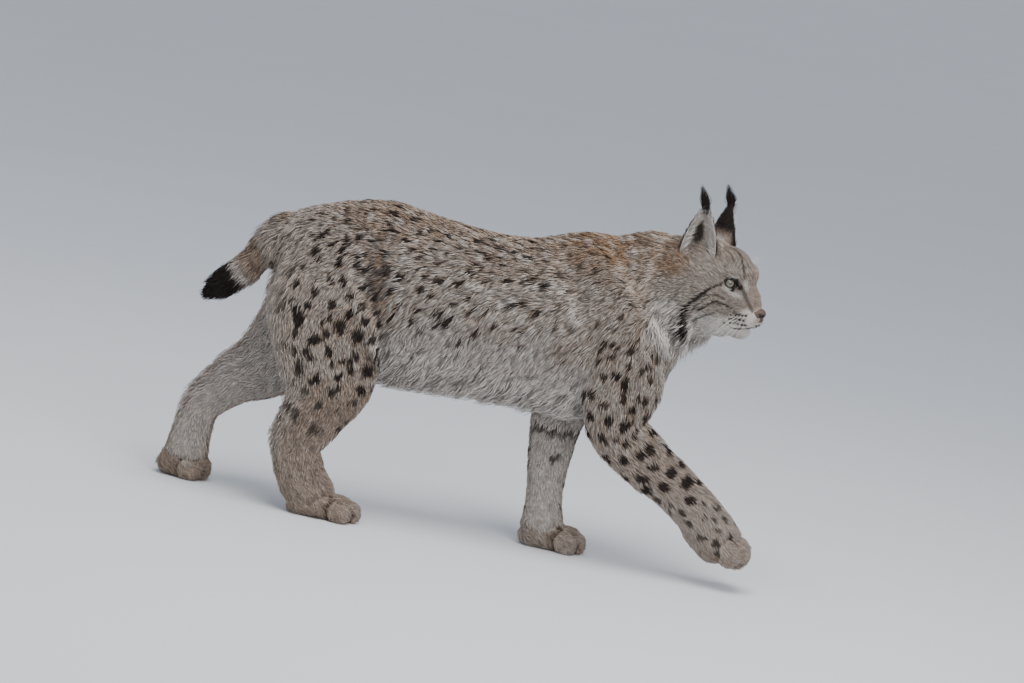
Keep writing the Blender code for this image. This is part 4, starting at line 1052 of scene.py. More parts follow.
def marks_at(points, normals, regions, rough, shade, spots):
    """Dark, pale and warm shares of the coat's colour at each point, and the random shade."""
    x, y, z = points.T
    trunk, neck, limb, paw, tail, head = regions.T
    body = trunk + neck
    soft = waves(points, 0.09, 3)
    streak = waves(points * np.array((1, 1, 0.6)), 0.022, 4)
    dark, tan = spot_mask(points, normals, spots, rough)
    # Pale below, on the inside of the legs and on the paws; warm along the back and behind the thighs.
    pale = smoothstep(0.47, 0.33, z + soft * 0.02 + rough * 0.01) * body * 0.85
    pale = np.maximum(pale, smoothstep(0.31, 0.37, x) * smoothstep(0.58, 0.48, z)
                      * smoothstep(0.05, 0.02, np.abs(y))
                      * body * 0.35)
    within = smoothstep(0.15, 0.70, -np.sign(y) * normals[:, 1]) * limb
    pale = highest(pale, within * smoothstep(0.46, 0.38, z) * 0.70, paw * 0.20,
                   limb * smoothstep(0.30, 0.12, z) * 0.25,
                   smoothstep(-0.1, 1.0, streak + 0.3 * rough) * (body + 0.5 * limb) * 0.50)
    warm = smoothstep(0.54, 0.63, z + soft * 0.02 + rough * 0.01) * body * 0.65
    warm = np.maximum(warm, smoothstep(0.08, 0.16, x) * smoothstep(0.55, 0.63, z)
                      * smoothstep(0.30, 0.24, x))
    # Behind the thighs and rump: warm tan fur, and a pale with fewer spots that is partly pale fur and partly
    # painted light, standing in for light thrown up from the ground onto the rear sides.
    rear = smoothstep(-0.24, -0.34, x) * smoothstep(0.0, 0.65, -normals[:, 0]) * smoothstep(0.05, 0.12, z)
    warm = np.maximum(warm, (limb + body) * rear * smoothstep(0.62, 0.52, z) * 0.85)
    pale = np.maximum(pale, (limb + body) * rear * 0.45)
    dark = dark * (1 - 0.75 * rear * smoothstep(0.3, 0.8, -normals[:, 0]) * smoothstep(0.20, 0.27, z))
    hind_leg = smoothstep(-0.18, -0.22, x)
    warm = np.maximum(warm, limb * smoothstep(0.34, 0.20, z) * (0.30 + 0.45 * hind_leg))
    shank = limb * hind_leg * smoothstep(0.30, 0.20, z)
    dark = np.maximum(dark, shank * smoothstep(-0.2, 1.2, streak) * 0.30)
    warm = np.maximum(warm, paw * (0.35 + 0.40 * hind_leg))
    # Darker streaks on the paws, stronger on the hind paws: partly their own darker tan and partly painted shade.
    dark = np.maximum(dark, paw * smoothstep(-0.6, 1.2, streak) * (0.10 + 0.20 * hind_leg))
    warm = highest(warm, tan * 0.50 * (1 - 0.5 * paw), smoothstep(0.2, 1.3, soft) * body * 0.25)
    # Painted shade in the fold in front of the thigh, the bars inside the far foreleg, and painted shade in the
    # gaps between the toes.
    # The fold is painted shade: a dark, warm, streaky band down the crease in front of the thigh.
    middle = -0.235 + 0.176 * (0.50 - z)
    fold = np.exp(-((x - middle + 0.006 * rough) / 0.024) ** 2) * smoothstep(0.28, 0.34, z)
    fold = fold * smoothstep(0.61, 0.53, z) * smoothstep(0.04, 0.07, np.abs(y)) * (body + limb)
    dark = np.maximum(dark, fold * np.clip(0.45 + 0.35 * streak, 0, 1))
    warm = np.maximum(warm, fold * 0.8)
    dark = dark * (1 - 0.75 * within * smoothstep(0.26, 0.22, x))
    wave = z + 0.004 * streak + 0.002 * rough
    bars = smoothstep(0.010, 0.004, np.abs(wave - 0.234)) * np.clip(0.75 + 0.4 * soft, 0, 1)
    bars = np.maximum(bars, smoothstep(0.009, 0.003, np.abs(wave - 0.184))
                      * smoothstep(0.020, 0.008, np.abs(x - 0.186)))
    dark = np.maximum(dark, bars * within * smoothstep(0.08, 0.12, x) * smoothstep(0.26, 0.22, x)
                      * (y > 0) * 0.85)
    of = paw > 0.3
    if of.any():
        between, behind = (line_gap(points[of], normals[of], lines) for lines in (TOE_GAPS, TOE_CREASES))
        gap = np.minimum(between, behind)
        # The painted shade in the creases behind the outer toes is fainter than the painted shade in the gaps
        # between the toes.
        dark[of] = highest(dark[of], smoothstep(0.0060, 0.0020, between) * 0.80,
                           smoothstep(0.0075, 0.0010, gap) * (0.30 + 0.2 * rough[of]))
        warm[of] = np.maximum(warm[of], smoothstep(0.012, 0.005, gap) * 0.8)
    dark = np.maximum(dark, smoothstep(0.9, 1.6, -streak + 0.2 * rough) * body * 0.25)
    # The tail: warm, with faint rings, pale before its black end.
    along = -((x + 0.5185) * 0.745 + (z - 0.434) * 0.667)
    ringed = np.clip(np.sin(along * math.tau / 0.026) * 1.5, 0, 1) * smoothstep(-0.01, -0.03, along)
    dark = np.maximum(dark, ringed * tail * 0.42)
    warm = np.maximum(warm, tail * 0.60)
    pale = np.maximum(pale, tail * smoothstep(-0.034, -0.008, along) * 0.60)
    places = in_head(points)
    of = head > 0.02
    turned = normals[of] @ np.array(head_matrix())[:3, :3]
    share = smoothstep(0.15, 0.75, head[of])
    for total, value in zip((dark, pale, warm), face_marks(places[of], turned)):
        total[of] = total[of] * (1 - share) + value * share
    nape = highest(*(near_ball(places, (-0.085, y, 0.040), 0.046, 0.4) for y in (0.075, -0.075)))
    warm = np.maximum(warm, nape * neck * 0.9)
    black = smoothstep(-0.003, 0.003, along + rough * 0.003)
    dark = np.maximum(dark, black * tail)
    return np.clip(np.stack([dark, pale, warm, shade], axis=1), 0, 1)


# Tufts


def keep(mesh, name, kind, field, values):
    """A new attribute of the mesh's points."""
    write(mesh.attributes.new(name, kind, "POINT").data, field, values)


def add_marks(mesh, marks, tips):
    keep(mesh, "marks", "FLOAT_COLOR", "color", marks)
    keep(mesh, "tip", "FLOAT", "value", tips)


def sampled(mesh, weights, number, draw):
    """Places on the mesh, chosen at random by the density given at its vertices: triangle and weights."""
    mesh.calc_loop_triangles()
    tris = read(mesh.loop_triangles, "vertices", 3, np.int32)
    points = points_of(mesh)
    a, b, c = (points[tris[:, k]] for k in range(3))
    area = np.linalg.norm(np.cross(b - a, c - a), axis=1) / 2
    share = area * weights[tris].mean(axis=1)
    total = share.sum()
    number = int(total if number is None else number)
    steps = (np.arange(number) + draw.random(number)) / number
    pick = np.searchsorted(np.cumsum(share) / total, steps)
    pick = np.minimum(pick, len(tris) - 1)
    u, v = draw.random(number), draw.random(number)
    over = u + v > 1
    u[over], v[over] = 1 - u[over], 1 - v[over]
    bary = np.column_stack([1 - u - v, u, v])
    return tris[pick], bary


def at_samples(values, tris, bary):
    if values.ndim == 1:
        return (values[tris] * bary).sum(axis=1)
    return (values[tris] * bary[:, :, None]).sum(axis=1)


TUFT_FACES = np.array([
    (0, 1, 4), (0, 4, 3), (1, 2, 5), (1, 5, 4), (2, 0, 3),
    (2, 3, 5), (3, 4, 6), (4, 5, 6), (5, 3, 6), (0, 2, 1),
])
# The same points in the bake's map.
TUFT_CORNERS = ((0, 0), (1, 0), (0.5, 0.3), (0, 0.6), (1, 0.6), (0.5, 0.7), (0.5, 1))


def tuft_points(roots, normals, lie, length, half, draw, lift=LIFT, sag=0.05, clump=0.0, size=0.012,
                sway=1.0):
    """Seven points for each tuft: a flat three-sided root, a bent middle and the tip. Tufts that stand near
    each other lean together by the share clump. Also gives the place on the skin that each tuft covers."""
    n = len(roots)
    side = unit(np.cross(lie, normals))
    swing = (waves(roots, 0.05, 8) * 0.20 + waves(roots, 0.016, 9) * 0.14) * sway
    ahead = unit(lie + side * (draw.normal(0, 0.13, (n, 1)) + swing[:, None]))
    lift = np.broadcast_to(lift, n)[:, None]
    side = unit(np.cross(ahead, normals))
    rise = lift * (0.55 + 0.9 * draw.random((n, 1)))
    length = length[:, None] * (0.66 + 0.6 * draw.random((n, 1)))
    half = half[:, None] * (0.8 + 0.4 * draw.random((n, 1)))
    start = roots - normals * 0.0012
    middle = roots + ahead * length * 0.48 + normals * length * 0.48 * rise
    tip = roots + ahead * length * 0.98 + normals * length * (0.48 * rise + sag) \
        + side * length * draw.normal(0, 0.06, (n, 1))
    if clump:
        leaders = thrown(roots, np.full(n, size), draw.permutation(n)[:6000])
        for first in range(0, n, 8000):
            part = slice(first, first + 8000)
            leader = leaders[gaps_between(roots[part], roots[leaders]).argmin(axis=1)]
            pull = clump * (0.6 + 0.4 * draw.random((len(leader), 1)))
            tip[part] += (tip[leader] - tip[part]) * pull
            middle[part] += (middle[leader] - middle[part]) * pull * 0.35
    flat = roots + off_normal((tip - roots) * 0.80, normals, 1.0)
    out = np.empty((n, 7, 3))
    out[:, 0] = start + side * half
    out[:, 1] = start - side * half
    out[:, 2] = start + normals * half * 0.9
    out[:, 3] = middle + side * half * 0.80
    out[:, 4] = middle - side * half * 0.80
    out[:, 5] = middle + normals * half * 0.8
    out[:, 6] = tip
    return out, flat


def tuft_marks(places, normals, regions, spots, draw):
    """The markings of each tuft, for its seven points."""
    n = len(normals)
    rough = np.clip(draw.normal(0, 1, n), -2, 2)
    return np.repeat(marks_at(places, normals, regions, rough, draw.random(n), spots), 7, axis=0)


def tuft_object(name, points, marks, uv, material):
    """One object of all the tufts, with their markings, how far along them each point is, and the bake's map."""
    n = len(points)
    mesh = bpy.data.meshes.new(name)
    mesh.vertices.add(n * 7)
    write(mesh.vertices, "co", points)
    faces = (TUFT_FACES[None, :, :] + 7 * np.arange(n)[:, None, None]).reshape(-1, 3)
    mesh.loops.add(faces.size)
    write(mesh.loops, "vertex_index", faces, np.int32)
    mesh.polygons.add(len(faces))
    write(mesh.polygons, "loop_start", np.arange(0, faces.size, 3), np.int32)
    mesh.update(calc_edges=True)
    add_marks(mesh, marks, np.tile(TUFT_TIPS, n))
    patch = np.array(TUFT_CORNERS) * 0.003 - 0.0015
    corners = (uv[:, None, :] + patch[None]).reshape(-1, 2)[faces.ravel()]
    write(mesh.uv_layers.new(name="OFBake").data, "uv", corners)
    return finished(add_object(name, mesh), material)


def wrap_map(points, name):
    """An unwrap of the skin round a chain's middle line: turns across, length along."""
    rows = chain_rows(name)
    near = gaps_between(points, rows[:, :3]).argmin(axis=1)
    ahead = unit(np.gradient(rows[:, :3], axis=0))[near]
    off = points - rows[near, :3]
    along = (off * ahead).sum(axis=1)
    across = unit(np.array((0.0, 1.0, 0.0)) - ahead * ahead[:, 1:2])
    deep = np.cross(across, ahead)
    turn = np.arctan2((off * across).sum(axis=1), (off * deep).sum(axis=1)) / math.tau + 0.5
    total = np.linalg.norm(np.diff(rows[:, :3], axis=0), axis=1).sum()
    place = near / (len(rows) - 1) * total + along
    low, high = place.min(), place.max()
    return np.column_stack([0.01 + 0.98 * turn, 0.01 + 0.98 * (place - low) / max(high - low, 1e-6)])


def placed(piece, replaces=()):
    piece.data.transform(Matrix.Translation(SHIFT))
    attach(piece, BODY)
    if replaces:
        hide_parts(*replaces)
    return piece


FLESH_NODES = [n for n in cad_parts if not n.startswith(("eye", "ear", "nose"))]


def head_tool(name, points, faces):
    """A closed solid in the head's frame, to cut with."""
    shape = bmesh.new()
    shape.from_mesh(mesh_of(name, points, faces))
    bmesh.ops.recalc_face_normals(shape, faces=shape.faces)
    bmesh.ops.triangulate(shape, faces=shape.faces)
    return add_object(name, from_head(mesh_from_bmesh(name, shape)))


def lid_opening(side):
    """The opening between the lids as a solid that widens outwards."""
    eye, axis, long_way, high_way = lid_frame(side)
    outline = lid_outline()
    points = []
    for reach, spread_by in ((-0.002, 0.9), (EYE_RADIUS + LID_THICKNESS, 1.0), (0.045, 1.5)):
        points += [eye + axis * reach + (long_way * u + high_way * v) * spread_by for u, v in outline]
    n = len(outline)
    faces = [tuple(range(n)), tuple(range(3 * n - 1, 2 * n - 1, -1))]
    for level in (0, 1):
        for i in range(n):
            j = (i + 1) % n
            faces.append((level * n + i, level * n + j, (level + 1) * n + j, (level + 1) * n + i))
    return head_tool("lid_opening", points, faces)


def mouth_line():
    """Points of the mouth's line from corner to corner, each with its level way outwards, in the head frame."""
    left = spline_rows(MOUTH, per_span=6)
    pairs = []
    for p in np.vstack([left[:0:-1] * np.array((1, -1, 1)), left]):
        out = Vector(p) - MOUTH_CENTRE
        out.z = 0
        pairs.append((Vector(p), out.normalized()))
    return pairs


def mouth_blade():
    """A thin blade that follows the lips from one corner of the mouth to the other."""
    path = mouth_line()
    points = []
    for p, out in path:
        for reach in (-MOUTH_DEPTH, MOUTH_OUTSIDE):
            points += [p + out * reach + Vector((0, 0, s * MOUTH_GAP / 2)) for s in (-1, 1)]
    faces = []
    for i in range(len(path) - 1):
        a, b = 4 * i, 4 * (i + 1)
        faces += [(a, a + 1, b + 1, b), (a + 1, a + 3, b + 3, b + 1), (a + 3, a + 2, b + 2, b + 3),
                  (a + 2, a, b, b + 2)]
    end = 4 * (len(path) - 1)
    faces += [(0, 2, 3, 1), (end, end + 1, end + 3, end + 2)]
    return head_tool("mouth", points, faces)


def lip_path(skin):
    """Points of the mouth's line brought out to the skin's surface, in the world's frame."""
    surface = surface_of(skin)
    path = []
    for p, out in mouth_line():
        start = head_matrix() @ (p + out * MOUTH_OUTSIDE)
        hit = surface.ray_cast(start, -(head_matrix().to_3x3() @ out), 2 * MOUTH_OUTSIDE)[0]
        path.append(hit if hit else head_matrix() @ p)
    return path


def make_lips(path, material):
    """The dark edge of the lips."""
    n = len(path)
    radii = [LIP_RADIUS * min(1.0, 0.35 + 3.0 * min(i, n - 1 - i) / n) for i in range(n)]
    return placed(finished(add_object("lips", tube(path, radii, 8)), material), ())


def cut(thing, tools):
    for tool in tools:
        modified(thing, "BOOLEAN", operation="DIFFERENCE", solver="MANIFOLD", object=tool)
        applied(thing)
        bpy.data.objects.remove(tool)
    return thing


def make_skin():
    """The animal's skin without a seam, below the coat, and the path of its lips."""
    skin = joined("skin", flesh_meshes())
    modified(skin, "REMESH", mode="VOXEL", voxel_size=SKIN_VOXEL)
    modified(skin, "SMOOTH", factor=0.5, iterations=6)
    applied(skin)
    mesh = skin.data
    points, normals, edges = points_of(mesh), normals_of(mesh), edges_of(mesh)
    x, _, z = points.T
    even = (smoothstep(0.27, 0.34, z) * smoothstep(0.40, 0.33, x))[:, None]
    points = points + (spread(points, edges, 70) - points) * even
    set_points(mesh, points)
    normals = normals_of(mesh)
    chain, part, _ = chain_fields(points)
    depth = np.zeros((len(points), 1))
    for i, name in enumerate(CHAINS):
        a, b = COAT[name][1]
        depth[chain == i, 0] = a + (b - a) * part[chain == i]
    depth = spread(depth, edges, 12)
    low = np.nonzero(points[:, 2] < 0.13)[0]
    gap = line_gap(points[low], normals[low], TOE_GAPS + TOE_CREASES)
    depth[low, 0] += CLEFT_DEPTH * np.exp(-(gap / CLEFT_HALF_WIDTH) ** 2)
    points = points - normals * depth
    points[:, 2] = np.maximum(points[:, 2], SKIN_LOWEST)
    set_points(mesh, points)
    places = in_head(points)
    fine = smoothstep(-0.02, 0.02, places[:, 0])
    group = skin.vertex_groups.new(name="body")
    for level in range(11):
        members = np.nonzero(np.round((1 - fine) * 10).astype(int) == level)[0]
        if level and len(members):
            group.add(members.tolist(), level / 10, "REPLACE")
    modified(skin, "DECIMATE", ratio=SKIN_KEPT, vertex_group="body")
    applied(skin)
    path = lip_path(skin)
    cutters = [lid_opening(side) for side in (1, -1)]
    for side in (1, -1):
        ball = ellipsoid(mirrored(EYE_AT, side), Vector((EYE_RADIUS,) * 3) + Vector((SOCKET_GAP,) * 3))
        cutters.append(add_object("socket", from_head(ball)))
    cutters.append(mouth_blade())
    return cut(skin, cutters), path


# Eyes, lids, nose, ears and whiskers


def make_eye(side, label, material):
    """An eyeball with a bulging cornea, which keeps its points' places in its own frame for the iris."""
    eye, _, long_way, _ = lid_frame(side)
    gaze_turn = EYE_TURN + GAZE_OUT
    axis = Vector((math.cos(gaze_turn), math.sin(gaze_turn) * side, 0.06)).normalized()
    mesh = ellipsoid(Vector(), Vector((EYE_RADIUS,) * 3), 64, 48)
    across = (long_way - axis * long_way.dot(axis)).normalized()
    turn = Matrix((across, axis.cross(across), axis)).transposed()
    gaze = points_of(mesh)
    bulge = smoothstep(0.0105, 0.0040, np.linalg.norm(gaze[:, :2], axis=1)) * (gaze[:, 2] > 0)
    points = gaze * (1 + 0.035 * bulge)[:, None]
    set_points(mesh, points @ np.array(turn).T + np.array(eye))
    keep(mesh, "gaze", "FLOAT_VECTOR", "vector", gaze)
    ball = finished(add_object("eyeball_" + label, from_head(mesh)), material)
    return placed(ball, ("eye_" + label,))


def tube(path, radii, sides=8, closed=False):
    """A round tube along a path, closed in a loop or by its two ends."""
    path = [Vector(p) for p in path]
    n = len(path)
    points, faces = [], []
    normal = None
    for i, p in enumerate(path):
        ahead = path[(i + 1) % n] if closed or i < n - 1 else path[i]
        behind = path[i - 1] if closed or i else path[i]
        along = (ahead - behind).normalized()
        if normal is None:
            normal = along.orthogonal().normalized()
        normal = (normal - along * normal.dot(along)).normalized()
        across = along.cross(normal)
        for j in range(sides):
            a = math.tau * j / sides
            points.append(p + (normal * math.cos(a) + across * math.sin(a)) * radii[i])
    for i in range(n if closed else n - 1):
        for j in range(sides):
            k = (j + 1) % sides
            a, b = i * sides, ((i + 1) % n) * sides
            faces.append((a + j, a + k, b + k, b + j))
    if not closed:
        faces.append(tuple(range(sides))[::-1])
        faces.append(tuple(range((n - 1) * sides, n * sides)))
    return mesh_of("tube", points, faces)


def make_lids(material):
    """The dark rims of the lids, thickest at the inner corner; along the upper lid they are thicker too, partly
    as painted shade of that lid.
    """
    meshes = []
    for side in (1, -1):
        eye, axis, long_way, high_way = lid_frame(side)
        radius = EYE_RADIUS + 0.0009
        path, radii = [], []
        for u, v in lid_outline(28):
            upper = max(0.0, v / LID_HALF_HEIGHT)
            v *= 1 - 0.16 * upper
            out = math.sqrt(max(radius * radius - u * u - v * v, (0.30 * radius) ** 2))
            path.append(eye + long_way * u + high_way * v + axis * out)
            inner = max(0.0, -u / LID_HALF_LENGTH)
            # The upper rim's extra thickness is partly the black lid edge and partly painted shade that the upper
            # lid casts on the eye.
            radii.append(0.0014 + 0.0009 * inner * inner + 0.0006 * upper)
        meshes.append(from_head(tube(path, radii, 8, closed=True)))
    return placed(finished(joined("lids", meshes), material), ())


def make_nose(material):
    """The bare pad of the nose with its two comma-shaped nostrils and the groove below them."""
    balls = [(NOSE_AT, NOSE_HALF * 0.93)]
    for side in (1, -1):
        balls.append((mirrored(Vector(NOSE_WING_AT), side), Vector(NOSE_WING_HALF)))
    balls.append((Vector((0.1260, 0.0, -0.0420)), Vector((0.0080, 0.0036, 0.0080))))
    nose = joined("nose_pad", [from_head(ellipsoid(middle, half)) for middle, half in balls])
    modified(nose, "REMESH", mode="VOXEL", voxel_size=0.0007)
    modified(nose, "SMOOTH", factor=0.5, iterations=8)
    applied(nose)
    tools = []
    for side in (1, -1):
        for middle, half in NOSTRIL:
            tools.append(add_object("hole", from_head(ellipsoid(mirrored(middle, side), half))))
    groove = ellipsoid(Vector((0.1375, 0.0, -0.0420)), Vector((0.0050, 0.0007, 0.0100)))
    tools.append(add_object("groove", from_head(groove)))
    return placed(finished(cut(nose, tools), material), ("nose",))


def ear_width(t):
    return EAR_HALF_WIDTH * (1 - t ** 2.8) * min(1.0, 0.70 + t) + 0.0035


def ear_grid(side, rows=48, columns=36):
    """Points of the ear's middle sheet, row by row from foot to tip, in the head frame."""
    opens = Vector((math.cos(EAR_OPENS), math.sin(EAR_OPENS) * side, 0))
    foot, tip = mirrored(EAR_FOOT, side), mirrored(EAR_TIP, side)
    up = (tip - foot).normalized()
    opens = (opens - up * opens.dot(up)).normalized()
    across = up.cross(opens).normalized()
    points = []
    for i in range(rows + 1):
        t = i / rows
        half = ear_width(t)
        spread_by = math.radians(105 - 50 * t)
        middle = foot + (tip - foot) * t + opens * half * 0.25
        for j in range(columns + 1):
            turn = spread_by * (2 * j / columns - 1)
            points.append(middle - opens * half * math.cos(turn) * 0.80 + across * half * math.sin(turn))
    return points, rows, columns


def make_ear(side, label, material):
    """The ear's skin: the bent sheet given a thickness, with its place along and across kept on it."""
    points, rows, columns = ear_grid(side)
    stride = columns + 1
    faces = [(i * stride + j, i * stride + j + 1, (i + 1) * stride + j + 1, (i + 1) * stride + j)
             for i in range(rows) for j in range(columns)]
    mesh = mesh_of("ear", points, faces)
    values = [(i / rows, 2 * j / columns - 1, 0) for i in range(rows + 1) for j in range(stride)]
    keep(mesh, "ear_place", "FLOAT_VECTOR", "vector", values)
    ear = add_object("ear_skin_" + label, from_head(mesh))
    modified(ear, "SOLIDIFY", thickness=0.0030, offset=0, use_even_offset=False)
    applied(ear)
    return finished(ear, material)


def ear_marks(place, inside, side, draw):
    """Black edges and tip behind, with a pale patch; grey within, dark in the hollow."""
    t, across = place[:, 0], np.abs(place[:, 1])
    n = len(t)
    out = np.zeros((n, 4))
    behind_dark = np.maximum(smoothstep(0.46, 0.64, t),
                             smoothstep(0.62, 0.86, across) * smoothstep(0.10, 0.35, t))
    behind_pale = smoothstep(0.60, 0.35, across) * smoothstep(0.56, 0.42, t) * smoothstep(0.10, 0.25, t)
    hollow = smoothstep(0.23, 0.10, np.hypot((t - 0.55) * 0.9, (place[:, 1] - HOLLOW_BACK * side) * 0.55))
    rim = smoothstep(0.80, 0.95, across)
    out[:, 0] = np.where(inside, np.maximum(hollow * 0.92, smoothstep(0.88, 0.95, t)), behind_dark)
    foot = smoothstep(0.30, 0.12, t)
    out[:, 0] = np.maximum(out[:, 0], foot * inside * 0.16)
    out[:, 1] = np.where(inside, (0.55 + 0.35 * rim - 0.3 * hollow) * (1 - 0.75 * foot),
                         behind_pale * 0.8)
    out[:, 2] = np.where(inside, 0.10, 0.35)
    out[:, 3] = draw.random(n)
    return np.clip(out, 0, 1)


def ear_coat(ear, side, label, material, draw):
    """Short hair over the ear, with longer pale hair along its front rim and in the cup."""
    mesh = ear.data
    points, normals = points_of(mesh), normals_of(mesh)
    place = read(mesh.attributes["ear_place"].data, "vector", 3).astype(float)
    opens = Vector((math.cos(EAR_OPENS), math.sin(EAR_OPENS) * side, 0))
    opens = np.array(head_matrix().to_3x3() @ opens)
    # The inner wall looks at the cup's middle line.
    foot, tip = (head_matrix() @ mirrored(p, side) for p in (EAR_FOOT, EAR_TIP))
    line = np.array(foot) + (np.array(tip) - np.array(foot)) * place[:, :1] + opens * 0.012
    inside = ((line - points) * normals).sum(axis=1) > 0
    up = unit(np.array(tip) - np.array(foot))
    tris, bary = sampled(mesh, np.full(len(points), 1.0), int(EAR_TUFTS * COUNT_SHARE), draw)
    roots = at_samples(points, tris, bary)
    ways = unit(at_samples(normals, tris, bary))
    where = at_samples(place, tris, bary)
    within = inside[tris[:, 0]]
    lie = unit(up - ways * (ways @ up)[:, None])
    rim = smoothstep(0.70, 0.95, np.abs(where[:, 1]))
    length = np.where(within, 0.011 + 0.012 * rim, 0.0085 + 0.002 * rim) * (1 - 0.35 * where[:, 0])
    half = np.where(within, 0.00055, 0.0007)
    inward = unit(line[tris[:, 0]] - roots)
    lie = np.where(within[:, None], unit(lie + inward * (0.25 + 0.6 * rim)[:, None]), lie)
    tufts, _ = tuft_points(roots, ways, lie, length, half, draw, lift=0.45)
    marks = np.repeat(ear_marks(where, within, side, draw), 7, axis=0)
    uv = np.column_stack([0.25 + 0.24 * where[:, 1] + 0.5 * within, 0.02 + 0.96 * where[:, 0]])
    coat = tuft_object("coat_ear_" + label, tufts, marks, uv, material)
    add_marks(mesh, ear_marks(place, inside, side, draw), np.full(len(points), SKIN_TIP))
    placed(ear, ("ear_" + label,))
    return placed(coat, ())


def make_ear_tufts(side, label, material, draw):
    """The long black brush at the tip of an ear."""
    foot, tip = mirrored(EAR_TIP, side), mirrored(TUFT_TIP, side)
    spread_x = draw.uniform(-1, 1, BRUSH_HAIRS)
    roots = np.array(foot) + np.column_stack([
        spread_x * 0.0042, draw.uniform(-0.0022, 0.0022, BRUSH_HAIRS), -0.006 - 0.012 * np.abs(spread_x)])
    ends = np.array(tip) + np.column_stack([
        spread_x * 0.0012, draw.uniform(-0.001, 0.001, BRUSH_HAIRS),
                                            -0.030 * draw.random(BRUSH_HAIRS) ** 2])
    turn = np.array(head_matrix())
    roots, ends = (p @ turn[:3, :3].T + turn[:3, 3] for p in (roots, ends))
    way = ends - roots
    length = np.linalg.norm(way, axis=1)
    lie = way / length[:, None]
    outward = unit(np.cross(lie, draw.normal(0, 1, (BRUSH_HAIRS, 3))))
    bow = -np.array(head_matrix().to_3x3() @ Vector((1, 0, 0)))
    tufts, _ = tuft_points(roots, outward, lie, length, np.full(BRUSH_HAIRS, 0.0007), draw, lift=0.04,
                           sag=-0.02)
    tufts[:, 3:6] -= (bow * length[:, None] * 0.08)[:, None, :]
    tufts[:, 6] = ends + (tufts[:, 6] - ends) * 0.15
    tufts[:, :, 2] = np.minimum(tufts[:, :, 2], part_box("ear_" + label)[1][2])
    marks = np.zeros((BRUSH_HAIRS, 4))
    marks[:, 0], marks[:, 3] = 1.0, draw.random(BRUSH_HAIRS)
    uv = np.column_stack([0.5 + 0.4 * spread_x, np.full(BRUSH_HAIRS, 0.5)])
    brush = tuft_object("ear_tuft_" + label, tufts, np.repeat(marks, 7, axis=0), uv, material)
    return placed(brush, ())


def make_whisker_spots(skin, material):
    """The dark dots that the whiskers grow from, in rows on the pads."""
    surface = surface_of(skin)
    meshes = []
    for side in (1, -1):
        for line in WHISKER_ROWS:
            rows = spline_rows(np.array(line) * np.array((1, side, 1)), 8)
            for place in WHISKER_PLACES:
                at = head_matrix() @ Vector(rows[round(place * (len(rows) - 1))]) + SHIFT
                root, outward = surface.find_nearest(at)[:2]
                size = WHISKER_SPOT * (1.1 - 0.35 * place)
                dot = ellipsoid(Vector(), Vector((size * 1.3, size, size)), 10, 8)
                turn = Matrix.Rotation(HEAD_YAW, 4, "Z")
                dot.transform(Matrix.Translation(root + outward * SPOT_RISE) @ turn)
                meshes.append(dot)
    dots = finished(joined("whisker_spots", meshes), material)
    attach(dots, BODY)


def make_whiskers(material, draw):
    """Stiff white whiskers from the dark dots of the pads, and a few above the eyes."""
    meshes = []
    for side in (1, -1):
        for row, line in enumerate(WHISKER_ROWS):
            for t in WHISKER_PLACES:
                rows = np.array(line) * np.array((1, side, 1))
                root = Vector(rows[0] + (rows[-1] - rows[0]) * t)
                length = 0.085 - 0.030 * t + draw.uniform(-0.008, 0.008)
                down = 0.30 + 0.16 * row - draw.uniform(-0.1, 0.1)
                way = Vector((0.10 - 0.55 * (1 - t), side * 0.95, -down))
                meshes.append(whisker(root, way.normalized(), length, Vector((-0.25, 0, -0.55))))
        for k in range(4):
            root = Vector((0.072 - 0.006 * k, side * (0.026 + 0.004 * k), 0.046))
            way = Vector((0.35, side * (0.25 + 0.15 * k), 0.85)).normalized()
            meshes.append(whisker(root, way, 0.040 + 0.004 * k, Vector((0.2, side * 0.2, -0.5))))
    return placed(finished(joined("whiskers", meshes), material), ())


def whisker(root, way, length, droop):
    """One tapered whisker that bends towards its droop."""
    steps = 9
    path = [root - way * 0.003 + way * length * i / steps + droop * length * 0.32 * (i / steps) ** 2
            for i in range(steps + 1)]
    radii = [0.00045 * (1 - 0.85 * i / steps) for i in range(steps + 1)]
    return from_head(tube(path, radii, 5))


COUNT_SHARE = 1.0
draw = np.random.default_rng(SEED)
COAT_BODY = coat_material("coat")
COAT_FACE = coat_material("coat_face")
COAT_EAR = coat_material("coat_ear")
BLACK_SKIN = skin_material("lid_skin", (0.010, 0.008, 0.008), (0.022, 0.016, 0.014), 0.35, 900.0, 0.2)
# Painted shade in the nostrils: the middle of each hole, and how far its dark reaches.
NOSTRIL_PAINTED_SHADES = [(head_matrix() @ Vector((x, y * side, z)) + SHIFT, reach) for side in (1, -1)
            for x, y, z, reach in ((0.1345, 0.0066, -0.0352, 0.0040), (0.1290, 0.0120, -0.0350, 0.0044))]
NOSE_SKIN = skin_material("nose", (0.150, 0.088, 0.066), (0.070, 0.040, 0.032), 0.45, 1400.0, 0.7,
                          NOSTRIL_PAINTED_SHADES)
EYE = eye_material()
WHISKER = skin_material("whisker", (0.85, 0.82, 0.78), (0.62, 0.58, 0.53), 0.45, 500.0, 0.05)
for eye_side, eye_label in ((1, "left"), (-1, "right")):
    make_eye(eye_side, eye_label, EYE)
    ear_coat(make_ear(eye_side, eye_label, COAT_EAR), eye_side, eye_label, COAT_EAR, draw)
    make_ear_tufts(eye_side, eye_label, COAT_EAR, draw)
make_lids(BLACK_SKIN)
make_nose(NOSE_SKIN)
make_whiskers(WHISKER, draw)

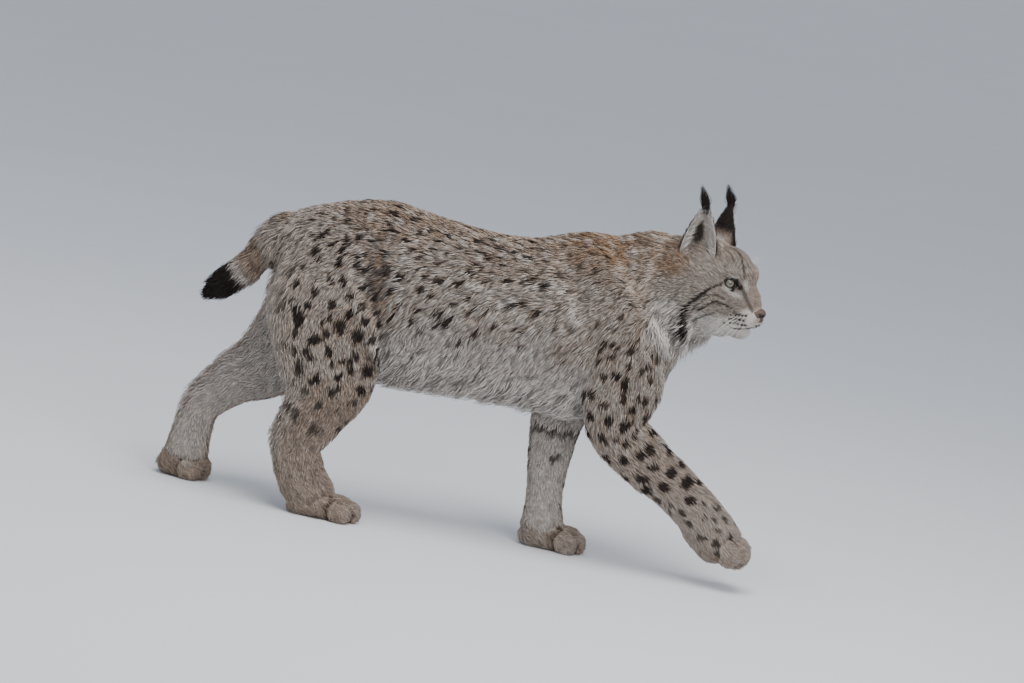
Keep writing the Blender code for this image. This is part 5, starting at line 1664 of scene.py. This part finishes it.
skin, mouth_path = make_skin()
skin_points, skin_normals, skin_edges = points_of(skin.data), normals_of(skin.data), edges_of(skin.data)
skin_lie, skin_plan, skin_regions = coat_plan(skin_points, skin_normals, skin_edges)
skin_chain = chain_fields(skin_points)[0]
skin_names = np.array(CHAINS)[skin_chain]
SPOTS = scatter_spots(skin_points, skin_names, skin_lie, skin_normals, draw)
skin_rough, skin_shade = draw.normal(0, 0.5, len(skin_points)), np.full(len(skin_points), 0.5)
skin_marks = marks_at(skin_points, skin_normals, skin_regions, skin_rough, skin_shade, SPOTS)
add_marks(skin.data, skin_marks, np.full(len(skin_points), SKIN_TIP))
placed(finished(skin, COAT_BODY), FLESH_NODES)
make_lips(mouth_path, BLACK_SKIN)
make_whisker_spots(skin, BLACK_SKIN)

tris, bary = sampled(skin.data, skin_plan[:, 3], None if COUNT_SHARE == 1 else int(COUNT_SHARE * 120000),
                     draw)
roots = at_samples(skin_points, tris, bary)
root_normals = unit(at_samples(skin_normals, tris, bary))
root_lie = unit(at_samples(skin_lie, tris, bary))
root_plan = at_samples(skin_plan, tris, bary)
root_chain = skin_chain[tris[:, 0]]
root_regions = at_samples(skin_regions, tris, bary)

places = in_head(roots)
folded = places * np.array((1, 0, 1)) + np.abs(places[:, 1:2]) * np.array((0, 1, 0))
clear = to_line(folded, MOUTH)[0] > MOUTH_CLEAR
for middle, half in ((NOSE_AT, NOSE_HALF), (NOSE_WING_AT, NOSE_WING_HALF)):
    clear &= np.linalg.norm((folded - np.array(middle)) / np.array(half), axis=1) > NOSE_CLEAR
for side in (1, -1):
    clear &= np.linalg.norm(places - np.array(mirrored(EYE_AT, side)), axis=1) > EYE_RADIUS + EYE_CLEAR
# On the face the hair lies straight.
root_sway = 1 - 0.75 * smoothstep(0.3, 0.8, root_regions[:, -1]) * smoothstep(-0.03, 0.03, places[:, 0])
# Each piece of the coat: its chains, and the share of its tufts, counted from the rear, where it starts and ends.
GROUPS = {
    "coat_trunk_left_rear": (("torso",), 0.0, 0.5), "coat_trunk_left_front": (("torso",), 0.5, 1.0),
    "coat_trunk_right_rear": (("torso",), 0.0, 0.5), "coat_trunk_right_front": (("torso",), 0.5, 1.0),
    "coat_neck": (("neck", "breast"), 0.0, 1.0),
    "coat_head_left_rear": (("head",), 0.0, 0.5), "coat_head_left_front": (("head",), 0.5, 1.0),
    "coat_head_right_rear": (("head",), 0.0, 0.5), "coat_head_right_front": (("head",), 0.5, 1.0),
    "coat_tail": (("tail",), 0.0, 1.0),
    "coat_foreleg_right": (("fore_right", "paw_fore_right"), 0.0, 1.0),
    "coat_foreleg_left": (("fore_left", "paw_fore_left"), 0.0, 1.0),
    "coat_hindleg_right": (("hind_right", "paw_hind_right"), 0.0, 1.0),
    "coat_hindleg_left": (("hind_left", "paw_hind_left"), 0.0, 1.0),
}
CLUMPS = {"trunk": 0.60, "neck": 0.60, "tail": 0.45, "head": 0.0, "foreleg": 0.35, "hindleg": 0.35}
for name, (chains, low, high) in GROUPS.items():
    of = np.isin(root_chain, [CHAINS.index(c) for c in chains]) & clear
    on_left = (places if "head" in name else roots)[:, 1] > 0
    if "_left_" in name:
        of &= on_left
    if "_right_" in name:
        of &= ~on_left
    from_x, to_x = np.quantile(roots[of, 0], (low, high))
    of &= (roots[:, 0] >= from_x) & ((roots[:, 0] < to_x) | (high == 1.0))
    points, flat = tuft_points(roots[of], root_normals[of], root_lie[of], root_plan[of, 1],
                               root_plan[of, 2], draw,
                               lift=root_plan[of, 4], clump=CLUMPS[name.split("_")[1]],
                               sway=root_sway[of])
    points[:, :, 2] = np.maximum(points[:, :, 2], COAT_LOWEST)
    marks = tuft_marks(flat, root_normals[of], root_regions[of], SPOTS, draw)
    slot, material = ("coat_face", COAT_FACE) if "head" in name else ("coat", COAT_BODY)
    placed(tuft_object(name, points, marks, wrap_map(roots[of], chains[0]), material), ())

# Camera, floor and light
SENSOR_WIDTH = 36.0
PICTURE_WIDTH = 1024
LENS_PIXELS = 4410.0
DISTANCE = 9.0
PITCH = math.radians(8.0)
ROLL = math.radians(10.5)
TARGET = Vector((0.06023883, 0.0, 0.41324122))
FLOOR_HALF = 30.0
camera_data = bpy.data.cameras.new("camera")
camera_data.sensor_width = SENSOR_WIDTH
camera_data.lens = LENS_PIXELS / PICTURE_WIDTH * SENSOR_WIDTH
camera = add_object("camera", camera_data)
looks = Vector((0, math.cos(PITCH), -math.sin(PITCH)))
level = Vector((0, math.sin(PITCH), math.cos(PITCH)))
right = Vector((1, 0, 0)) * math.cos(ROLL) + level * math.sin(ROLL)
up = level * math.cos(ROLL) - Vector((1, 0, 0)) * math.sin(ROLL)
turn = Matrix((right, up, -looks)).transposed().to_4x4()
camera.matrix_world = Matrix.Translation(TARGET - looks * DISTANCE) @ turn
bpy.context.scene.camera = camera

floor_material, floor_shader, floor_start = finish_material("floor", 0.9)
floor_place = floor_start.node("ShaderNodeTexCoord", out=3)
floor_tone = floor_start.node("ShaderNodeTexNoise", {}, {"Vector": floor_place, "Scale": 1.5})
feed(floor_shader, "Base Color", floor_tone.mixed((0.78, 0.79, 0.82), (0.82, 0.83, 0.86)))
floor_corners = [(x * FLOOR_HALF, y * FLOOR_HALF, 0) for x, y in ((-1, -1), (1, -1), (1, 1), (-1, 1))]
floor = add_object("floor", mesh_of("floor", floor_corners, [(0, 1, 2, 3)]))
floor.data.materials.append(floor_material)

world = bpy.data.worlds.new("studio")
bpy.context.scene.world = world
world.use_nodes = True
world.node_tree.nodes["Background"].inputs["Color"].default_value = (0.80, 0.86, 0.95, 1.0)
world.node_tree.nodes["Background"].inputs["Strength"].default_value = 0.66


def soft_light(name, place, size, power, colour):
    """A round lamp that looks at the animal."""
    data = bpy.data.lights.new(name, "AREA")
    data.shape = "DISK"
    data.size = size
    data.energy = power
    data.color = colour
    made = add_object(name, data)
    made.location = place
    made.rotation_euler = (Vector((0, 0, 0.4)) - Vector(place)).to_track_quat("-Z", "Y").to_euler()
    return made


soft_light("overhead", (0.3, -1.2, 4.0), 3.0, 130, (1.0, 0.98, 0.95))
soft_light("front", (1.8, -3.5, 2.2), 2.5, 60, (1.0, 0.97, 0.93))
